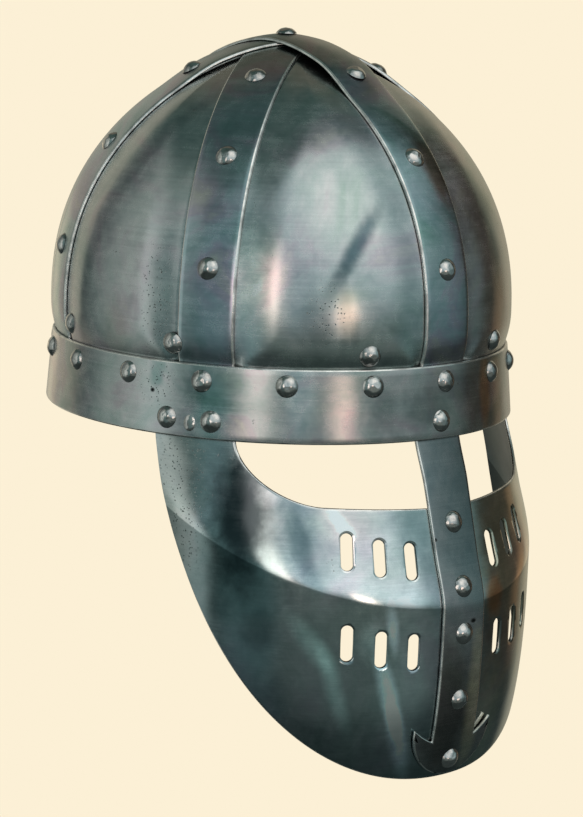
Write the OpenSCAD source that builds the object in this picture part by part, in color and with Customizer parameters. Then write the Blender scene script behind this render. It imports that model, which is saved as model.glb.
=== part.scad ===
// Spangenhelm: a riveted steel helmet of six dome plates under three crossing straps, a brow band,
// a breathed face plate with cheek arms, and a nasal bar that ends in an anchor foot.
// The origin is the centre of the brow band's lower edge. The face looks along -Y, the wearer's right is -X.

/* [Brow band] */
// Length of the brow band's oval, front to back, outside at its lower edge
brow_length = 232; // [220:1:245]
// Width of the brow band's oval, side to side, outside at its lower edge
brow_width = 215; // [204:1:228]
// Height of the brow band
brow_h = 33; // [30:0.5:38]
// How far the band leans in at its upper edge
brow_lean = 2.9; // [1.5:0.1:4]
// Thickness of the band's sheet
brow_t = 1.6; // [1.2:0.1:2]

/* [Dome] */
// Height of the crown, without the laps of the straps
dome_h = 171; // [160:1:185]
// Height of the level where the dome is widest
bulge_z = 47.5; // [44:0.5:56]
// How far the widest level stays inside the brow band's lower edge
bulge_inset = 2; // [1:0.1:4]
// Fullness of the crown, where 2 is an ellipse and less is more pointed
crown_fullness = 1.62; // [1.5:0.02:1.9]
// Fullness of the shoulders, where 2 is an ellipse and more is squarer
shoulder_fullness = 2.23; // [1.9:0.01:2.4]
// Thickness of the six dome plates
plate_t = 1.2; // [1:0.1:1.6]
// How far neighbouring plates lap past the middle of a strap
plate_lap = 8; // [6.5:0.5:10]
// Depth of the plates and straps behind the brow band
tuck_depth = 14; // [12:0.5:15]

/* [Straps] */
// Width of the three straps that cross at the crown
strap_w = 27; // [24:0.5:30]
// Thickness of the straps
strap_t = 1.5; // [1.2:0.1:2]
// Bearing of the front-to-back strap, from the front towards the wearer's right
front_strap_az = -2; // [-3:0.5:1]
// Bearing of the lower diagonal strap, from the front towards the wearer's right
lower_strap_az = 57.5; // [55:0.5:63]
// Bearing of the upper diagonal strap, from the front towards the wearer's right
upper_strap_az = 116.5; // [114:0.5:122]

/* [Face plate] */
// Thickness of the face plate
face_t = 1.5; // [1.2:0.1:2]
// Depth of the face plate's lowest point below the brow band
face_drop = 154.6; // [140:1:170]
// Depth of the ridge at the nasal, below the brow band
ridge_drop = 72.8; // [64:1:80]
// How far the ridge stands forward of the brow at the nasal
ridge_out = 19.6; // [14:0.5:24]
// How far the ridge climbs towards the back
ridge_climb = 67; // [50:1:75]
// Depth of the eye openings' lower edge at the nasal
eye_drop = 30; // [24:1:34]
// Rise of the eye openings' lower edge from the nasal to its outer corner
eye_rise = 3; // [0:0.5:6]
// Angle at which the eye opening's outer corner starts to curve up
eye_corner_az = 30.8; // [26:0.2:34]
// Angle of the cheek arm's front edge
arm_front_az = 51.4; // [48:0.2:53]
// Angle of the cheek arm's rear edge
arm_rear_az = 71.6; // [70:0.2:76]

/* [Breaths] */
// Length of a breathing slot
slot_l = 17; // [12:0.5:19]
// Width of a breathing slot
slot_w = 6; // [4:0.25:7]
// Distance of the upper slots above the ridge
slot_above = 20; // [17:0.5:21]
// Distance of the lower slots below the ridge
slot_below = 20.5; // [17:0.5:26]
// Angle of the slot nearest the nasal
slot_az = 11.8; // [11.4:0.1:12.4]
// Angle from slot to slot
slot_pitch = 7.2; // [6.2:0.1:8]

/* [Nasal bar] */
// Width of the bar under the brow band
nasal_top_w = 27; // [24:0.5:29]
// Width of the bar at the ridge
nasal_mid_w = 24.6; // [22:0.5:27]
// Width of the bar where it meets its foot
nasal_low_w = 25.4; // [23:0.5:27]
// Thickness of the bar
nasal_t = 1.6; // [1.2:0.1:2.2]
// Radius of the anchor foot
foot_r = 23; // [19:0.5:24]
// Distance from the face plate's lowest point to the middle of the foot's round
foot_lift = 24.6; // [21:0.2:27]

/* [Rivets] */
// Radius of a rivet's domed head
head_r = 4.75; // [4:0.05:5.2]
// Height of a rivet's domed head
head_h = 2.7; // [2.2:0.1:3.8]
// Radius of a rivet's shank
shank_r = 2; // [1.5:0.1:2.3]
// Number of rivets round the brow band
brow_rivet_n = 18; // [12:6:24]
// Height of the row of rivets round the brow band
brow_rivet_z = 25.5; // [24:0.5:27]
// Height of the rivets that hold the liner
liner_rivet_z = 41; // [39.5:0.5:44]
// Height of the rivets that hold the cheek arms and the nasal bar to the band
arm_rivet_z = 8; // [6.5:0.5:9]

/* [Liner] */
// Thickness of the leather
liner_t = 2; // [1.5:0.1:2.5]
// Height of the leather headband
liner_h = 14; // [11:0.5:18]

/* [Hidden] */
$fn = 96;

// Clearance between sheets that lie on each other, and round a shank in its hole
lay_gap = 0.1;
hole_gap = 0.1;
half_l = brow_length / 2;
oval = brow_width / brow_length;
dome_r = half_l - bulge_inset;
// Longer than the helmet, for solids that only cut
far = 400;
// Reach of a bored hole to each side of its seat, past every layer there, and the turn of its seam
hole_reach = 12;
hole_turn = 45;

// Layers of the dome, as depths below the straps' outer face
strap_pitch = strap_t + lay_gap;
outer_plate_depth = strap_pitch;
inner_plate_depth = outer_plate_depth + plate_t + lay_gap;
stack_depth = inner_plate_depth + plate_t;

// Clenched end of a rivet, and the liner behind the deepest of them
peen_h = 1.2;
peen_r = 3.4;
liner_slack = 0.6;
liner_depth = stack_depth + peen_h + liner_slack;
plates_low = brow_h - tuck_depth;
crown_steps = 18;
shoulder_steps = 3;

// Where the straps step up to pass over each other, as angles on the dome's profile
step_low = 52;
step_high = 66;

// Radius of the round opening that the plates' tips leave under the straps
plate_tip_r = 20;

// Heights of the three rivets on each half strap, by their share of the way from the widest level to the crown
strap_rivet_heights = [for (share = [0.226, 0.615, 0.884]) bulge_z + (dome_h - bulge_z) * share];

// Bearings of the six half straps, in order from the front towards the wearer's right, and the first again
strap_az = [for (turn = [0, 180]) each [front_strap_az, lower_strap_az, upper_strap_az] + turn * [1, 1, 1],
    front_strap_az + 360];

// Inside of the brow band at a height, as a radius on the oval's length
function brow_inner(z) = half_l - brow_t - brow_lean * z / brow_h;

// Point on the dome's profile, its outward normal, and the angle on the profile for a height
function profile(u) = [dome_r * pow(cos(u), 2 / crown_fullness),
    bulge_z + (dome_h - bulge_z) * pow(sin(u), 2 / shoulder_fullness)];
function unit(v) = v / norm(v);
function slope(u) = [
    (dome_h - bulge_z) * 2 / shoulder_fullness * pow(sin(u), 2 / shoulder_fullness - 1) * cos(u),
    dome_r * 2 / crown_fullness * pow(cos(u), 2 / crown_fullness - 1) * sin(u)];
function profile_normal(u) = u <= 0 ? [1, 0] : (u >= 90 ? [0, 1] : unit(slope(u)));
function profile_angle(z) = asin(pow((z - bulge_z) / (dome_h - bulge_z), shoulder_fullness / 2));

// Radius of the dome below its widest level, where it draws in to go behind the brow band
shoulder_r = brow_inner(brow_h) - lay_gap;
function draw_in(z) = dome_r - (dome_r - shoulder_r) * pow((bulge_z - z) / (bulge_z - brow_h), 2);
function draw_in_slope(z) = 2 * (dome_r - shoulder_r) * (bulge_z - z) / pow(bulge_z - brow_h, 2);

// Smooth rise from 0 to 1, for the step of a strap near the crown
function smooth(x) = let (c = max(0, min(1, x))) c * c * (3 - 2 * c);
function step_rise(u) = smooth((u - step_low) / (step_high - step_low));

// Between two steps of a strap's outline the sheet is flat: the point and normal there, and its rise
function mix(a, b, w) = a + (b - a) * w;
crown_step = 90 / crown_steps;
function raised(u, rise) = profile(u) + rise * step_rise(u) * profile_normal(u);
function flat_start(u) = floor(u / crown_step) * crown_step;
function on_flat(u, rise) = let (a = flat_start(u))
    mix(raised(a, rise), raised(a + crown_step, rise), (u - a) / crown_step);
function flat_normal(u, rise) = let (a = flat_start(u), d = raised(a + crown_step, rise) - raised(a, rise))
    unit([d[1], -d[0]]);
function flat_rise(u) = let (a = flat_start(u))
    mix(step_rise(a), step_rise(a + crown_step), (u - a) / crown_step);

// Outline of the dome at a depth below the straps' outer face, raised near the crown
function dome_line(depth, rise = 0) = concat(
    [[brow_inner(plates_low) - lay_gap - depth, plates_low]],
    [for (i = [0:shoulder_steps - 1])
        let (z = brow_h + (bulge_z - brow_h) * i / shoulder_steps) [draw_in(z) - depth, z]],
    [for (i = [0:crown_steps])
        let (u = i * crown_step)
        profile(u) + (rise * step_rise(u) - depth) * profile_normal(u)]);
function reversed(v) = [for (i = [len(v) - 1:-1:0]) v[i]];

// Turned round shape drawn out to the helmet's oval
module oval_turn() {
    scale([oval, 1, 1])
        rotate_extrude()
            children();
}

module dome_skin(depth, t, rise = 0) {
    oval_turn()
        polygon(concat(dome_line(depth, rise), reversed(dome_line(depth + t, rise))));
}

// Bearings are turned to the oval's own angle, which runs a little ahead of them
function oval_angle(az) = atan2(sin(az) / oval, cos(az));
function oval_point(t, r, z) = [-oval * r * sin(t), -r * cos(t), z];
function oval_normal(t, n) = unit([-n[0] * sin(t) / oval, -n[0] * cos(t), n[1]]);

// Puts children on a point with +Z along the outward normal and +X down the surface
module seat(point, normal) {
    translate(point)
        rotate([0, acos(normal[2]), atan2(normal[1], normal[0])])
            children();
}

// Round cap of a sphere, as a rivet's head
module cap(r, h) {
    ball_r = (r * r + h * h) / (2 * h);
    intersection() {
        translate([0, 0, h - ball_r])
            sphere(r = ball_r);
        cylinder(r = 2 * r, h = 2 * h);
    }
}

// Rivet with its head on z = 0 and its clenched end at the depth of its grip
module rivet(grip, r = head_r, h = head_h) {
    cap(r, h);
    translate([0, 0, -grip])
        cylinder(r = shank_r, h = grip + h / 2);
    translate([0, 0, -grip])
        mirror([0, 0, 1])
            cap(peen_r, peen_h);
}

module rivet_hole() {
    rotate([0, 0, hole_turn])
        cylinder(r = shank_r + hole_gap, h = 2 * hole_reach, center = true);
}

// Seats for each group of rivets on the dome and the brow band
// A half strap's rivets follow the strap as it steps up, and so do their holes in the sheets below
strap_levels = [2, 0, 1];
function strap_rise(index) = strap_levels[index % 3] * strap_pitch;
module on_half_strap(index, z) {
    t = oval_angle(strap_az[index]);
    u = profile_angle(z);
    rise = strap_rise(index);
    point = on_flat(u, rise);
    seat(oval_point(t, point[0], point[1]), oval_normal(t, flat_normal(u, rise)))
        children();
}

brow_tilt = [brow_h, brow_lean];
function brow_outer(z) = half_l - brow_lean * z / brow_h;
module on_brow(t, z, depth = 0) {
    seat(oval_point(t, brow_outer(z) - depth, z), oval_normal(t, unit(brow_tilt)))
        children();
}

// The row of rivets round the band shifts at the front, so that one of them meets the middle of the strap
brow_step = 360 / brow_rivet_n;
shift_fade = 24;
function brow_rivet_az(i) = i * brow_step + front_strap_az * pow(cos((i + 0.5) * brow_step / 2), shift_fade);
module at_brow_rivet(i) {
    on_brow(brow_rivet_az(i), brow_rivet_z)
        children();
}

module at_brow_rivets() {
    for (i = [0:brow_rivet_n - 1])
        at_brow_rivet(i)
            children();
}

// Liner rivets, as [angle on the oval, depth of the sheet under the head, drop below their row]. One on
// each side stands against the rear edge of a strap, with its head over the edge.
strap_edge_gap = 0.7;
beside_strap = (strap_w / 2 + shank_r + strap_edge_gap) / (dome_r * PI / 180);
liner_seats = [[20, outer_plate_depth, 1.9], [oval_angle(strap_az[1]) + beside_strap, 0, 0],
    [104.5, inner_plate_depth, 0.2], [155, outer_plate_depth, 0.6], [-23, inner_plate_depth, 0.8],
    [oval_angle(strap_az[5]) - beside_strap, 0, 0], [-104.5, outer_plate_depth, 0.4],
    [-155, inner_plate_depth, 0.3]];
module at_liner_rivet(place) {
    z = liner_rivet_z - place[2];
    seat(oval_point(place[0], draw_in(z) - place[1], z), oval_normal(place[0], [1, -draw_in_slope(z)]))
        children();
}

module at_liner_rivets() {
    for (place = liner_seats)
        at_liner_rivet(place)
            children();
}

// Dome plates, made by cutting the skin to a wedge, with every second one in the inner layer
module wedge(from, to, lap) {
    half = (to - from) / 2;
    mid = from + half;
    back = lap / sin(half);
    function dir(a) = [-sin(a), -cos(a)];
    translate([0, 0, -far / 2])
        linear_extrude(height = far)
            translate(-back * dir(mid))
                polygon([[0, 0], far * dir(from), far * dir(mid), far * dir(to)]);
}

module dome_plate(i) {
    depth = i % 2 == 0 ? outer_plate_depth : inner_plate_depth;
    color([0.36, 0.42, 0.44])
        difference() {
            intersection() {
                dome_skin(depth, plate_t);
                wedge(strap_az[i], strap_az[i + 1], plate_lap);
            }
            translate([0, 0, dome_h / 2])
                cylinder(r = plate_tip_r, h = dome_h);
            for (j = [i, i + 1])
                for (z = strap_rivet_heights)
                    on_half_strap(j, z)
                        rivet_hole();
            at_brow_rivets()
                rivet_hole();
            at_liner_rivets()
                rivet_hole();
        }
}

module dome_plate_front_right() { dome_plate(0); }
module dome_plate_right() { dome_plate(1); }
module dome_plate_back_right() { dome_plate(2); }
module dome_plate_back_left() { dome_plate(3); }
module dome_plate_left() { dome_plate(4); }
module dome_plate_front_left() { dome_plate(5); }

// Straps, each one sheet higher at the crown than the one that it crosses
module strap(index) {
    color([0.3, 0.38, 0.39])
        difference() {
            intersection() {
                dome_skin(0, strap_t, strap_rise(index));
                rotate([0, 0, -strap_az[index]])
                    cube([strap_w, far, far], center = true);
            }
            for (j = [index, index + 3])
                for (z = strap_rivet_heights)
                    on_half_strap(j, z)
                        rivet_hole();
            at_brow_rivets()
                rivet_hole();
            translate([0, 0, dome_h])
                rivet_hole();
        }
}

module strap_lower_diagonal() { strap(1); }
module strap_upper_diagonal() { strap(2); }
module strap_front_to_back() { strap(0); }

module brow_band() {
    color([0.34, 0.37, 0.37])
        difference() {
            oval_turn()
                polygon([[half_l, 0], [brow_outer(brow_h), brow_h], [brow_inner(brow_h), brow_h],
                    [brow_inner(0), 0]]);
            at_brow_rivets()
                rivet_hole();
            at_arm_rivets()
                rivet_hole();
            at_flush_rivets()
                rivet_hole();
            at_nasal_top()
                rivet_hole();
        }
}

// Face plate: how far its outer face stands beyond the oval that hangs from the band
face_gap = 0.25;
face_top = 17;
face_r = half_l - brow_t - face_gap;
// How soon the ridge's reach fades towards the back, and the lean and the curl inwards of the panel below it
ridge_fade = 1.22;
chin_lean = 0.58;
chin_curl = 8.5;
function ridge_z(t) = -ridge_drop + ridge_climb * (1 - cos(t));
function ridge_reach(t) = ridge_out * cos(ridge_fade * t);
function chin_fall(w) = chin_lean * w + chin_curl * pow(w, 3);
function face_out(t, z) = z >= 0 ? -brow_lean * z / brow_h :
    z >= ridge_z(t) ? ridge_reach(t) * z / ridge_z(t) :
    ridge_reach(t) - chin_fall((ridge_z(t) - z) / (face_drop + ridge_z(t)));
function face_point(t, z, out = 0) = let (e = face_out(t, z) + out)
    [-(face_r * oval + e) * sin(t), -(face_r + e) * cos(t), z];
probe = 0.5;
function face_normal(t, z) = unit(cross(
    face_point(t, z + probe) - face_point(t, z - probe),
    face_point(t + probe, z) - face_point(t - probe, z)));

// Edges of one half of the face plate, as [angle, height], from the nasal to the arm's top
corner_fullness = 1.65;
edge_fullness = [2.42, 1.29];
eye_part = 0.34;
turn_part = 0.86;
function eye_edge(s) = s <= eye_part ?
    [eye_corner_az * s / eye_part, -eye_drop + eye_rise * s / eye_part] :
    s <= turn_part ?
    let (a = 90 * (s - eye_part) / (turn_part - eye_part))
    [eye_corner_az + (arm_front_az - eye_corner_az) * pow(sin(a), 2 / corner_fullness),
        (eye_rise - eye_drop) * pow(cos(a), 2 / corner_fullness)] :
    [arm_front_az, face_top * (s - turn_part) / (1 - turn_part)];
function rear_edge(s) = s <= turn_part ?
    let (a = 90 * (1 - s / turn_part))
    [arm_rear_az * pow(cos(a), 2 / edge_fullness[0]), -face_drop * pow(sin(a), 2 / edge_fullness[1])] :
    [arm_rear_az, face_top * (s - turn_part) / (1 - turn_part)];

// Share of the way from the eye edge to the rear edge at which a line crosses the ridge, found in a few
// rounds and kept inside the sheet where a line runs clear of the ridge
share_range = [0.1, 0.8];
share_start = 0.4;
share_rounds = 8;
least_fall = 0.1;
function within(x, range) = max(range[0], min(range[1], x));
function next_share(a, b, w) =
    within((ridge_z(mix(a[0], b[0], w)) - a[1]) / min(-least_fall, b[1] - a[1]), share_range);
function ridge_share(a, b, w = share_start, n = share_rounds) =
    n == 0 ? w : ridge_share(a, b, next_share(a, b, w), n - 1);
rows_above = 6;
rows_below = 9;
face_rows = rows_above + rows_below;
face_columns = 22;
function face_cell(s, j) = let (
    a = eye_edge(s), b = rear_edge(s), w = ridge_share(a, b),
    share = j <= rows_above ? w * j / rows_above : mix(w, 1, (j - rows_above) / rows_below))
    mix(a, b, share);

// Closed sheet from two grids of points, the outer face first
function quad(a, b, c, d) = [[a, b, c], [a, c, d]];
module sheet(outer, inner) {
    n = len(outer);
    m = len(outer[0]);
    base = n * m;
    points = concat([for (row = outer) each row], [for (row = inner) each row]);
    faces = concat(
        [for (i = [0:n - 2]) for (j = [0:m - 2])
            each quad(i * m + j, i * m + j + 1, (i + 1) * m + j + 1, (i + 1) * m + j)],
        [for (i = [0:n - 2]) for (j = [0:m - 2])
            each quad(base + i * m + j, base + (i + 1) * m + j, base + (i + 1) * m + j + 1, base + i * m + j + 1)],
        [for (i = [0:n - 2])
            each quad(i * m, (i + 1) * m, base + (i + 1) * m, base + i * m)],
        [for (i = [0:n - 2])
            each quad(i * m + m - 1, base + i * m + m - 1, base + (i + 1) * m + m - 1, (i + 1) * m + m - 1)],
        [for (j = [0:m - 2])
            each quad(j, base + j, base + j + 1, j + 1)],
        [for (j = [0:m - 2])
            each quad((n - 1) * m + j, (n - 1) * m + j + 1, base + (n - 1) * m + j + 1, base + (n - 1) * m + j)]);
    polyhedron(points, faces, convexity = 6);
}

function face_grid(out) = [for (i = [-face_columns:face_columns])
    let (side = i < 0 ? -1 : 1, s = abs(i) / face_columns)
    [for (j = [0:face_rows])
        let (cell = face_cell(s, j)) face_point(side * cell[0], cell[1], out)]];

module on_face(t, z, out = 0) {
    seat(face_point(t, z, out), face_normal(t, z))
        children();
}

// Round-ended slot through the plate, long down the surface
slot_reach = 6;
module slot_cut() {
    run = (slot_l - slot_w) / 2;
    cube([2 * run, slot_w, 2 * slot_reach], center = true);
    for (x = [-run, run])
        translate([x, 0, 0])
            cylinder(r = slot_w / 2, h = 2 * slot_reach, center = true);
}

module face_plate() {
    color([0.33, 0.42, 0.45])
        difference() {
            sheet(face_grid(0), face_grid(-face_t));
            for (side = [1, -1])
                for (i = [0:2]) {
                    t = slot_az + i * slot_pitch;
                    on_face(side * t, ridge_z(t) + slot_above)
                        slot_cut();
                    on_face(side * t, ridge_z(t) - slot_below)
                        slot_cut();
                }
            at_arm_rivets()
                rivet_hole();
            at_flush_rivets()
                rivet_hole();
            at_nasal_rivets()
                rivet_hole();
        }
}

// Nasal bar: a sheet bent over the middle of the face plate, cut to the bar and its anchor foot
nasal_out = lay_gap + nasal_t;
nasal_rise_drop = 20;
foot_z = foot_lift - face_drop;
foot_low = foot_z - foot_r;
nasal_half_grid = 5;
nasal_grid_margin = 2;
rise_steps = 4;
bridge_steps = 4;
chin_steps = 7;
nasal_levels = concat([face_top, face_top / 2],
    [for (i = [0:rise_steps - 1]) -nasal_rise_drop * i / rise_steps],
    [for (i = [0:bridge_steps - 1]) mix(-nasal_rise_drop, -ridge_drop, i / bridge_steps)],
    [for (i = [0:chin_steps]) mix(-ridge_drop, foot_low - nasal_grid_margin, i / chin_steps)]);
// The plate's own ridge climbs away from the nose, so the bar keeps the profile of its middle.
// Behind the brow band it lies against the band, and it reaches the face plate's outside below it.
function nasal_rise(z) = mix(face_gap - lay_gap, nasal_out, smooth(-z / nasal_rise_drop));
function bar_point(x, z, depth) =
    let (e = face_out(0, z) + nasal_rise(z) - depth, t = -asin(x / (face_r * oval + e)))
    [x, -(face_r + e) * cos(t), z];
function nasal_grid(depth) = [for (i = [-nasal_half_grid:nasal_half_grid])
    [for (z = nasal_levels) bar_point(-i * (foot_r + nasal_grid_margin) / nasal_half_grid, z, depth)]];

// The bar runs down into its foot, a disc whose upper side is cut to two horns that rise outwards
bar_overrun = 8;
horn_rise = 1.5;
notch_drop = 6;
notch_in = 1;
module foot_outline() {
    intersection() {
        translate([0, foot_z])
            circle(r = foot_r);
        polygon([[-far, foot_low - far], [-far, foot_z + horn_rise], [-foot_r, foot_z + horn_rise],
            [notch_in - nasal_low_w / 2, foot_z - notch_drop], [nasal_low_w / 2 - notch_in, foot_z - notch_drop],
            [foot_r, foot_z + horn_rise], [far, foot_z + horn_rise], [far, foot_low - far]]);
    }
}

module nasal_outline() {
    polygon([[-nasal_top_w / 2, face_top], [-nasal_mid_w / 2, -ridge_drop], [-nasal_low_w / 2, foot_z],
        [-nasal_low_w / 2, foot_z - bar_overrun], [nasal_low_w / 2, foot_z - bar_overrun],
        [nasal_low_w / 2, foot_z], [nasal_mid_w / 2, -ridge_drop], [nasal_top_w / 2, face_top]]);
    foot_outline();
}

module nasal_bar() {
    color([0.4, 0.4, 0.39])
        difference() {
            intersection() {
                sheet(nasal_grid(0), nasal_grid(nasal_t));
                rotate([90, 0, 0])
                    linear_extrude(height = far)
                        nasal_outline();
            }
            at_nasal_top()
                rivet_hole();
            at_nasal_rivets()
                rivet_hole();
        }
}

// Rivets of the band, the arms and the nasal, set from the edges and the ridge of the sheets that they hold
arm_edge_to_rivet = [5.9, 3.3];
arm_rivet_az = [arm_front_az + arm_edge_to_rivet[0], arm_rear_az - arm_edge_to_rivet[1]];
flush_rivet_share = 0.46;
flush_rivet_drop = 1.5;
flush_rivet_az = mix(arm_rivet_az[0], arm_rivet_az[1], flush_rivet_share);
flush_rivet_z = arm_rivet_z - flush_rivet_drop;
eye_to_rivet = 6.2;
ridge_to_rivet_above = 8.6;
ridge_to_rivet_below = 12.9;
foot_to_rivet = 9;
chin_rivet_share = 0.52;
nasal_rivet_ends = [ridge_drop + ridge_to_rivet_below, face_drop - foot_to_rivet];
nasal_rivet_drops = [eye_drop + eye_to_rivet, ridge_drop - ridge_to_rivet_above, nasal_rivet_ends[0],
    mix(nasal_rivet_ends[0], nasal_rivet_ends[1], chin_rivet_share), nasal_rivet_ends[1]];
module at_arm_rivets(sides = [1, -1]) {
    for (side = sides)
        for (az = arm_rivet_az)
            on_brow(side * az, arm_rivet_z)
                children();
}

module at_flush_rivets() {
    for (side = [1, -1])
        on_brow(side * flush_rivet_az, flush_rivet_z)
            children();
}

module at_nasal_top() {
    on_brow(0, arm_rivet_z)
        children();
}

module at_nasal_rivets() {
    for (drop = nasal_rivet_drops)
        on_face(0, -drop, nasal_out)
            children();
}

rivet_color = [0.52, 0.53, 0.52];
clench_gap = 0.5;
dome_stack = stack_depth + clench_gap;
brow_stack = brow_t + lay_gap + dome_stack;
arm_stack = brow_t + face_gap + face_t + clench_gap;
nasal_top_stack = brow_t + lay_gap + nasal_t + clench_gap;

module crown_rivet() {
    color(rivet_color)
        translate([0, 0, dome_h + 2 * strap_pitch])
            rivet(3 * strap_pitch + clench_gap);
}

module strap_rivets(index) {
    color(rivet_color)
        for (j = [index, index + 3])
            for (z = strap_rivet_heights)
                on_half_strap(j, z)
                    rivet(dome_stack + strap_rise(index) * flat_rise(profile_angle(z)));
}

module front_to_back_strap_rivets() { strap_rivets(0); }
module lower_diagonal_strap_rivets() { strap_rivets(1); }
module upper_diagonal_strap_rivets() { strap_rivets(2); }

module brow_rivets() {
    color(rivet_color)
        at_brow_rivets()
            rivet(brow_stack);
}

liner_stack = liner_depth + liner_t + clench_gap;
module liner_rivets() {
    color(rivet_color)
        for (place = liner_seats)
            at_liner_rivet(place)
                rivet(liner_stack - place[1]);
}

module cheek_rivets_right() {
    color(rivet_color)
        at_arm_rivets([1])
            rivet(arm_stack);
}

module cheek_rivets_left() {
    color(rivet_color)
        at_arm_rivets([-1])
            rivet(arm_stack);
}

flush_r = 3.2;
flush_h = 0.6;
module flush_rivets() {
    color(rivet_color)
        at_flush_rivets()
            rivet(arm_stack, flush_r, flush_h);
}

module nasal_top_rivet() {
    color(rivet_color)
        at_nasal_top()
            rivet(nasal_top_stack);
}

module nasal_rivets() {
    color(rivet_color)
        at_nasal_rivets()
            rivet(nasal_out + face_t + clench_gap);
}

// Leather liner: a headband held by the liner rivets, with one tongue up under each dome plate
tongue_gap = 9;
crown_hole_r = 34;
headband_low = liner_rivet_z - liner_h / 2;
module leather_liner() {
    color([0.42, 0.27, 0.16])
        difference() {
            intersection() {
                dome_skin(liner_depth, liner_t);
                union() {
                    translate([0, 0, headband_low])
                        cylinder(r = far, h = liner_h);
                    intersection() {
                        translate([0, 0, headband_low])
                            cylinder(r = far, h = far);
                        for (i = [0:5])
                            wedge(strap_az[i], strap_az[i + 1], -tongue_gap);
                    }
                }
            }
            translate([0, 0, dome_h / 2])
                cylinder(r = crown_hole_r, h = dome_h);
            at_liner_rivets()
                rivet_hole();
        }
}

brow_band();
dome_plate_front_right();
dome_plate_right();
dome_plate_back_right();
dome_plate_back_left();
dome_plate_left();
dome_plate_front_left();
strap_front_to_back();
strap_lower_diagonal();
strap_upper_diagonal();
face_plate();
nasal_bar();
leather_liner();
crown_rivet();
front_to_back_strap_rivets();
lower_diagonal_strap_rivets();
upper_diagonal_strap_rivets();
brow_rivets();
liner_rivets();
cheek_rivets_right();
cheek_rivets_left();
flush_rivets();
nasal_top_rivet();
nasal_rivets();
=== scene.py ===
"""Spangenhelm: the looks of a riveted steel helmet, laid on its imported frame.

The frame is in metres with +Z up, and its origin is the middle of the brow band's lower edge. The face looks
along -Y and the wearer's right is -X. A bearing is an angle in degrees from the front towards the wearer's
right. A sheet's outline is held as radii on the oval's length, and its width follows by the oval's ratio.
"""

import bisect
import logging
import math
import random
from collections.abc import Callable, Iterable, Iterator, Sequence
from contextlib import contextmanager
from dataclasses import dataclass, field
from enum import Enum, IntEnum

import bmesh
import bpy
from mathutils import Matrix, Vector


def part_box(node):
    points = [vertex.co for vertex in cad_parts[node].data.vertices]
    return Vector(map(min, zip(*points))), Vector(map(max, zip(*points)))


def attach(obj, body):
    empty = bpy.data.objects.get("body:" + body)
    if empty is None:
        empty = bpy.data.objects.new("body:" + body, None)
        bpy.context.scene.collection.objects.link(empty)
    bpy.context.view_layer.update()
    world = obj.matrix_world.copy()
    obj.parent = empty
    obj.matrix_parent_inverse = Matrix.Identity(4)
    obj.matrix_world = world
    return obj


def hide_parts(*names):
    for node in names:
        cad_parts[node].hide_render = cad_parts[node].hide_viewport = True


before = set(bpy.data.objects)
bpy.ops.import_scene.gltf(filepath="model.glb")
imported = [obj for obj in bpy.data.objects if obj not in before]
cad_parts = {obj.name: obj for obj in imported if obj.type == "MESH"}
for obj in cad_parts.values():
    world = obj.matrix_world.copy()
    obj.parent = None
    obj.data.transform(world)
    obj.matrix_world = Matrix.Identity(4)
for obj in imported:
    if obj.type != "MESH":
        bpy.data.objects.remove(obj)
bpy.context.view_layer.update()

MM = 0.001
Piece = bpy.types.Object
Material = bpy.types.Material
Socket = bpy.types.NodeSocket
Colour = tuple[float, float, float]
Place = Callable[[float, float], Vector]
Stops = tuple[tuple[float, Colour], ...]

log = logging.getLogger("spangenhelm")


class Slot(Enum):
    """Names of the record's material slots, one for each kind of piece."""

    PLATE = "plate_steel"
    STRAP = "strap_steel"
    BAND = "band_steel"
    FACE = "face_steel"
    NASAL = "nasal_steel"
    RIVET = "rivet_steel"
    LEATHER = "liner_leather"


class Skin(IntEnum):
    """Parts of a sheet's surface with a finish of their own, as the mesh counts its materials."""

    FACE = 0
    RIM = 1
    LIP = 2
    WALL = 3


def unit2(x: float, y: float) -> tuple[float, float]:
    """Returns the plane direction (x, y) at length one."""
    size = math.hypot(x, y)
    return x / size, y / size


def mix(a: float, b: float, share: float) -> float:
    """Returns the value that lies a share of the way from a to b."""
    return a + (b - a) * share


def smooth(x: float) -> float:
    """Returns a soft rise from 0 to 1 as x goes from 0 to 1."""
    c = max(0.0, min(1.0, x))
    return c * c * (3 - 2 * c)


def heading(bearing: float, height: float = 0.0) -> Vector:
    """Returns the direction at a bearing and a height, both in degrees."""
    b, h = math.radians(bearing), math.radians(height)
    return Vector((-math.sin(b) * math.cos(h), -math.cos(b) * math.cos(h), math.sin(h)))


def sideways(bearing: float) -> Vector:
    """Returns the level direction square to a bearing."""
    b = math.radians(bearing)
    return Vector((-math.cos(b), math.sin(b), 0))


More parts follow.
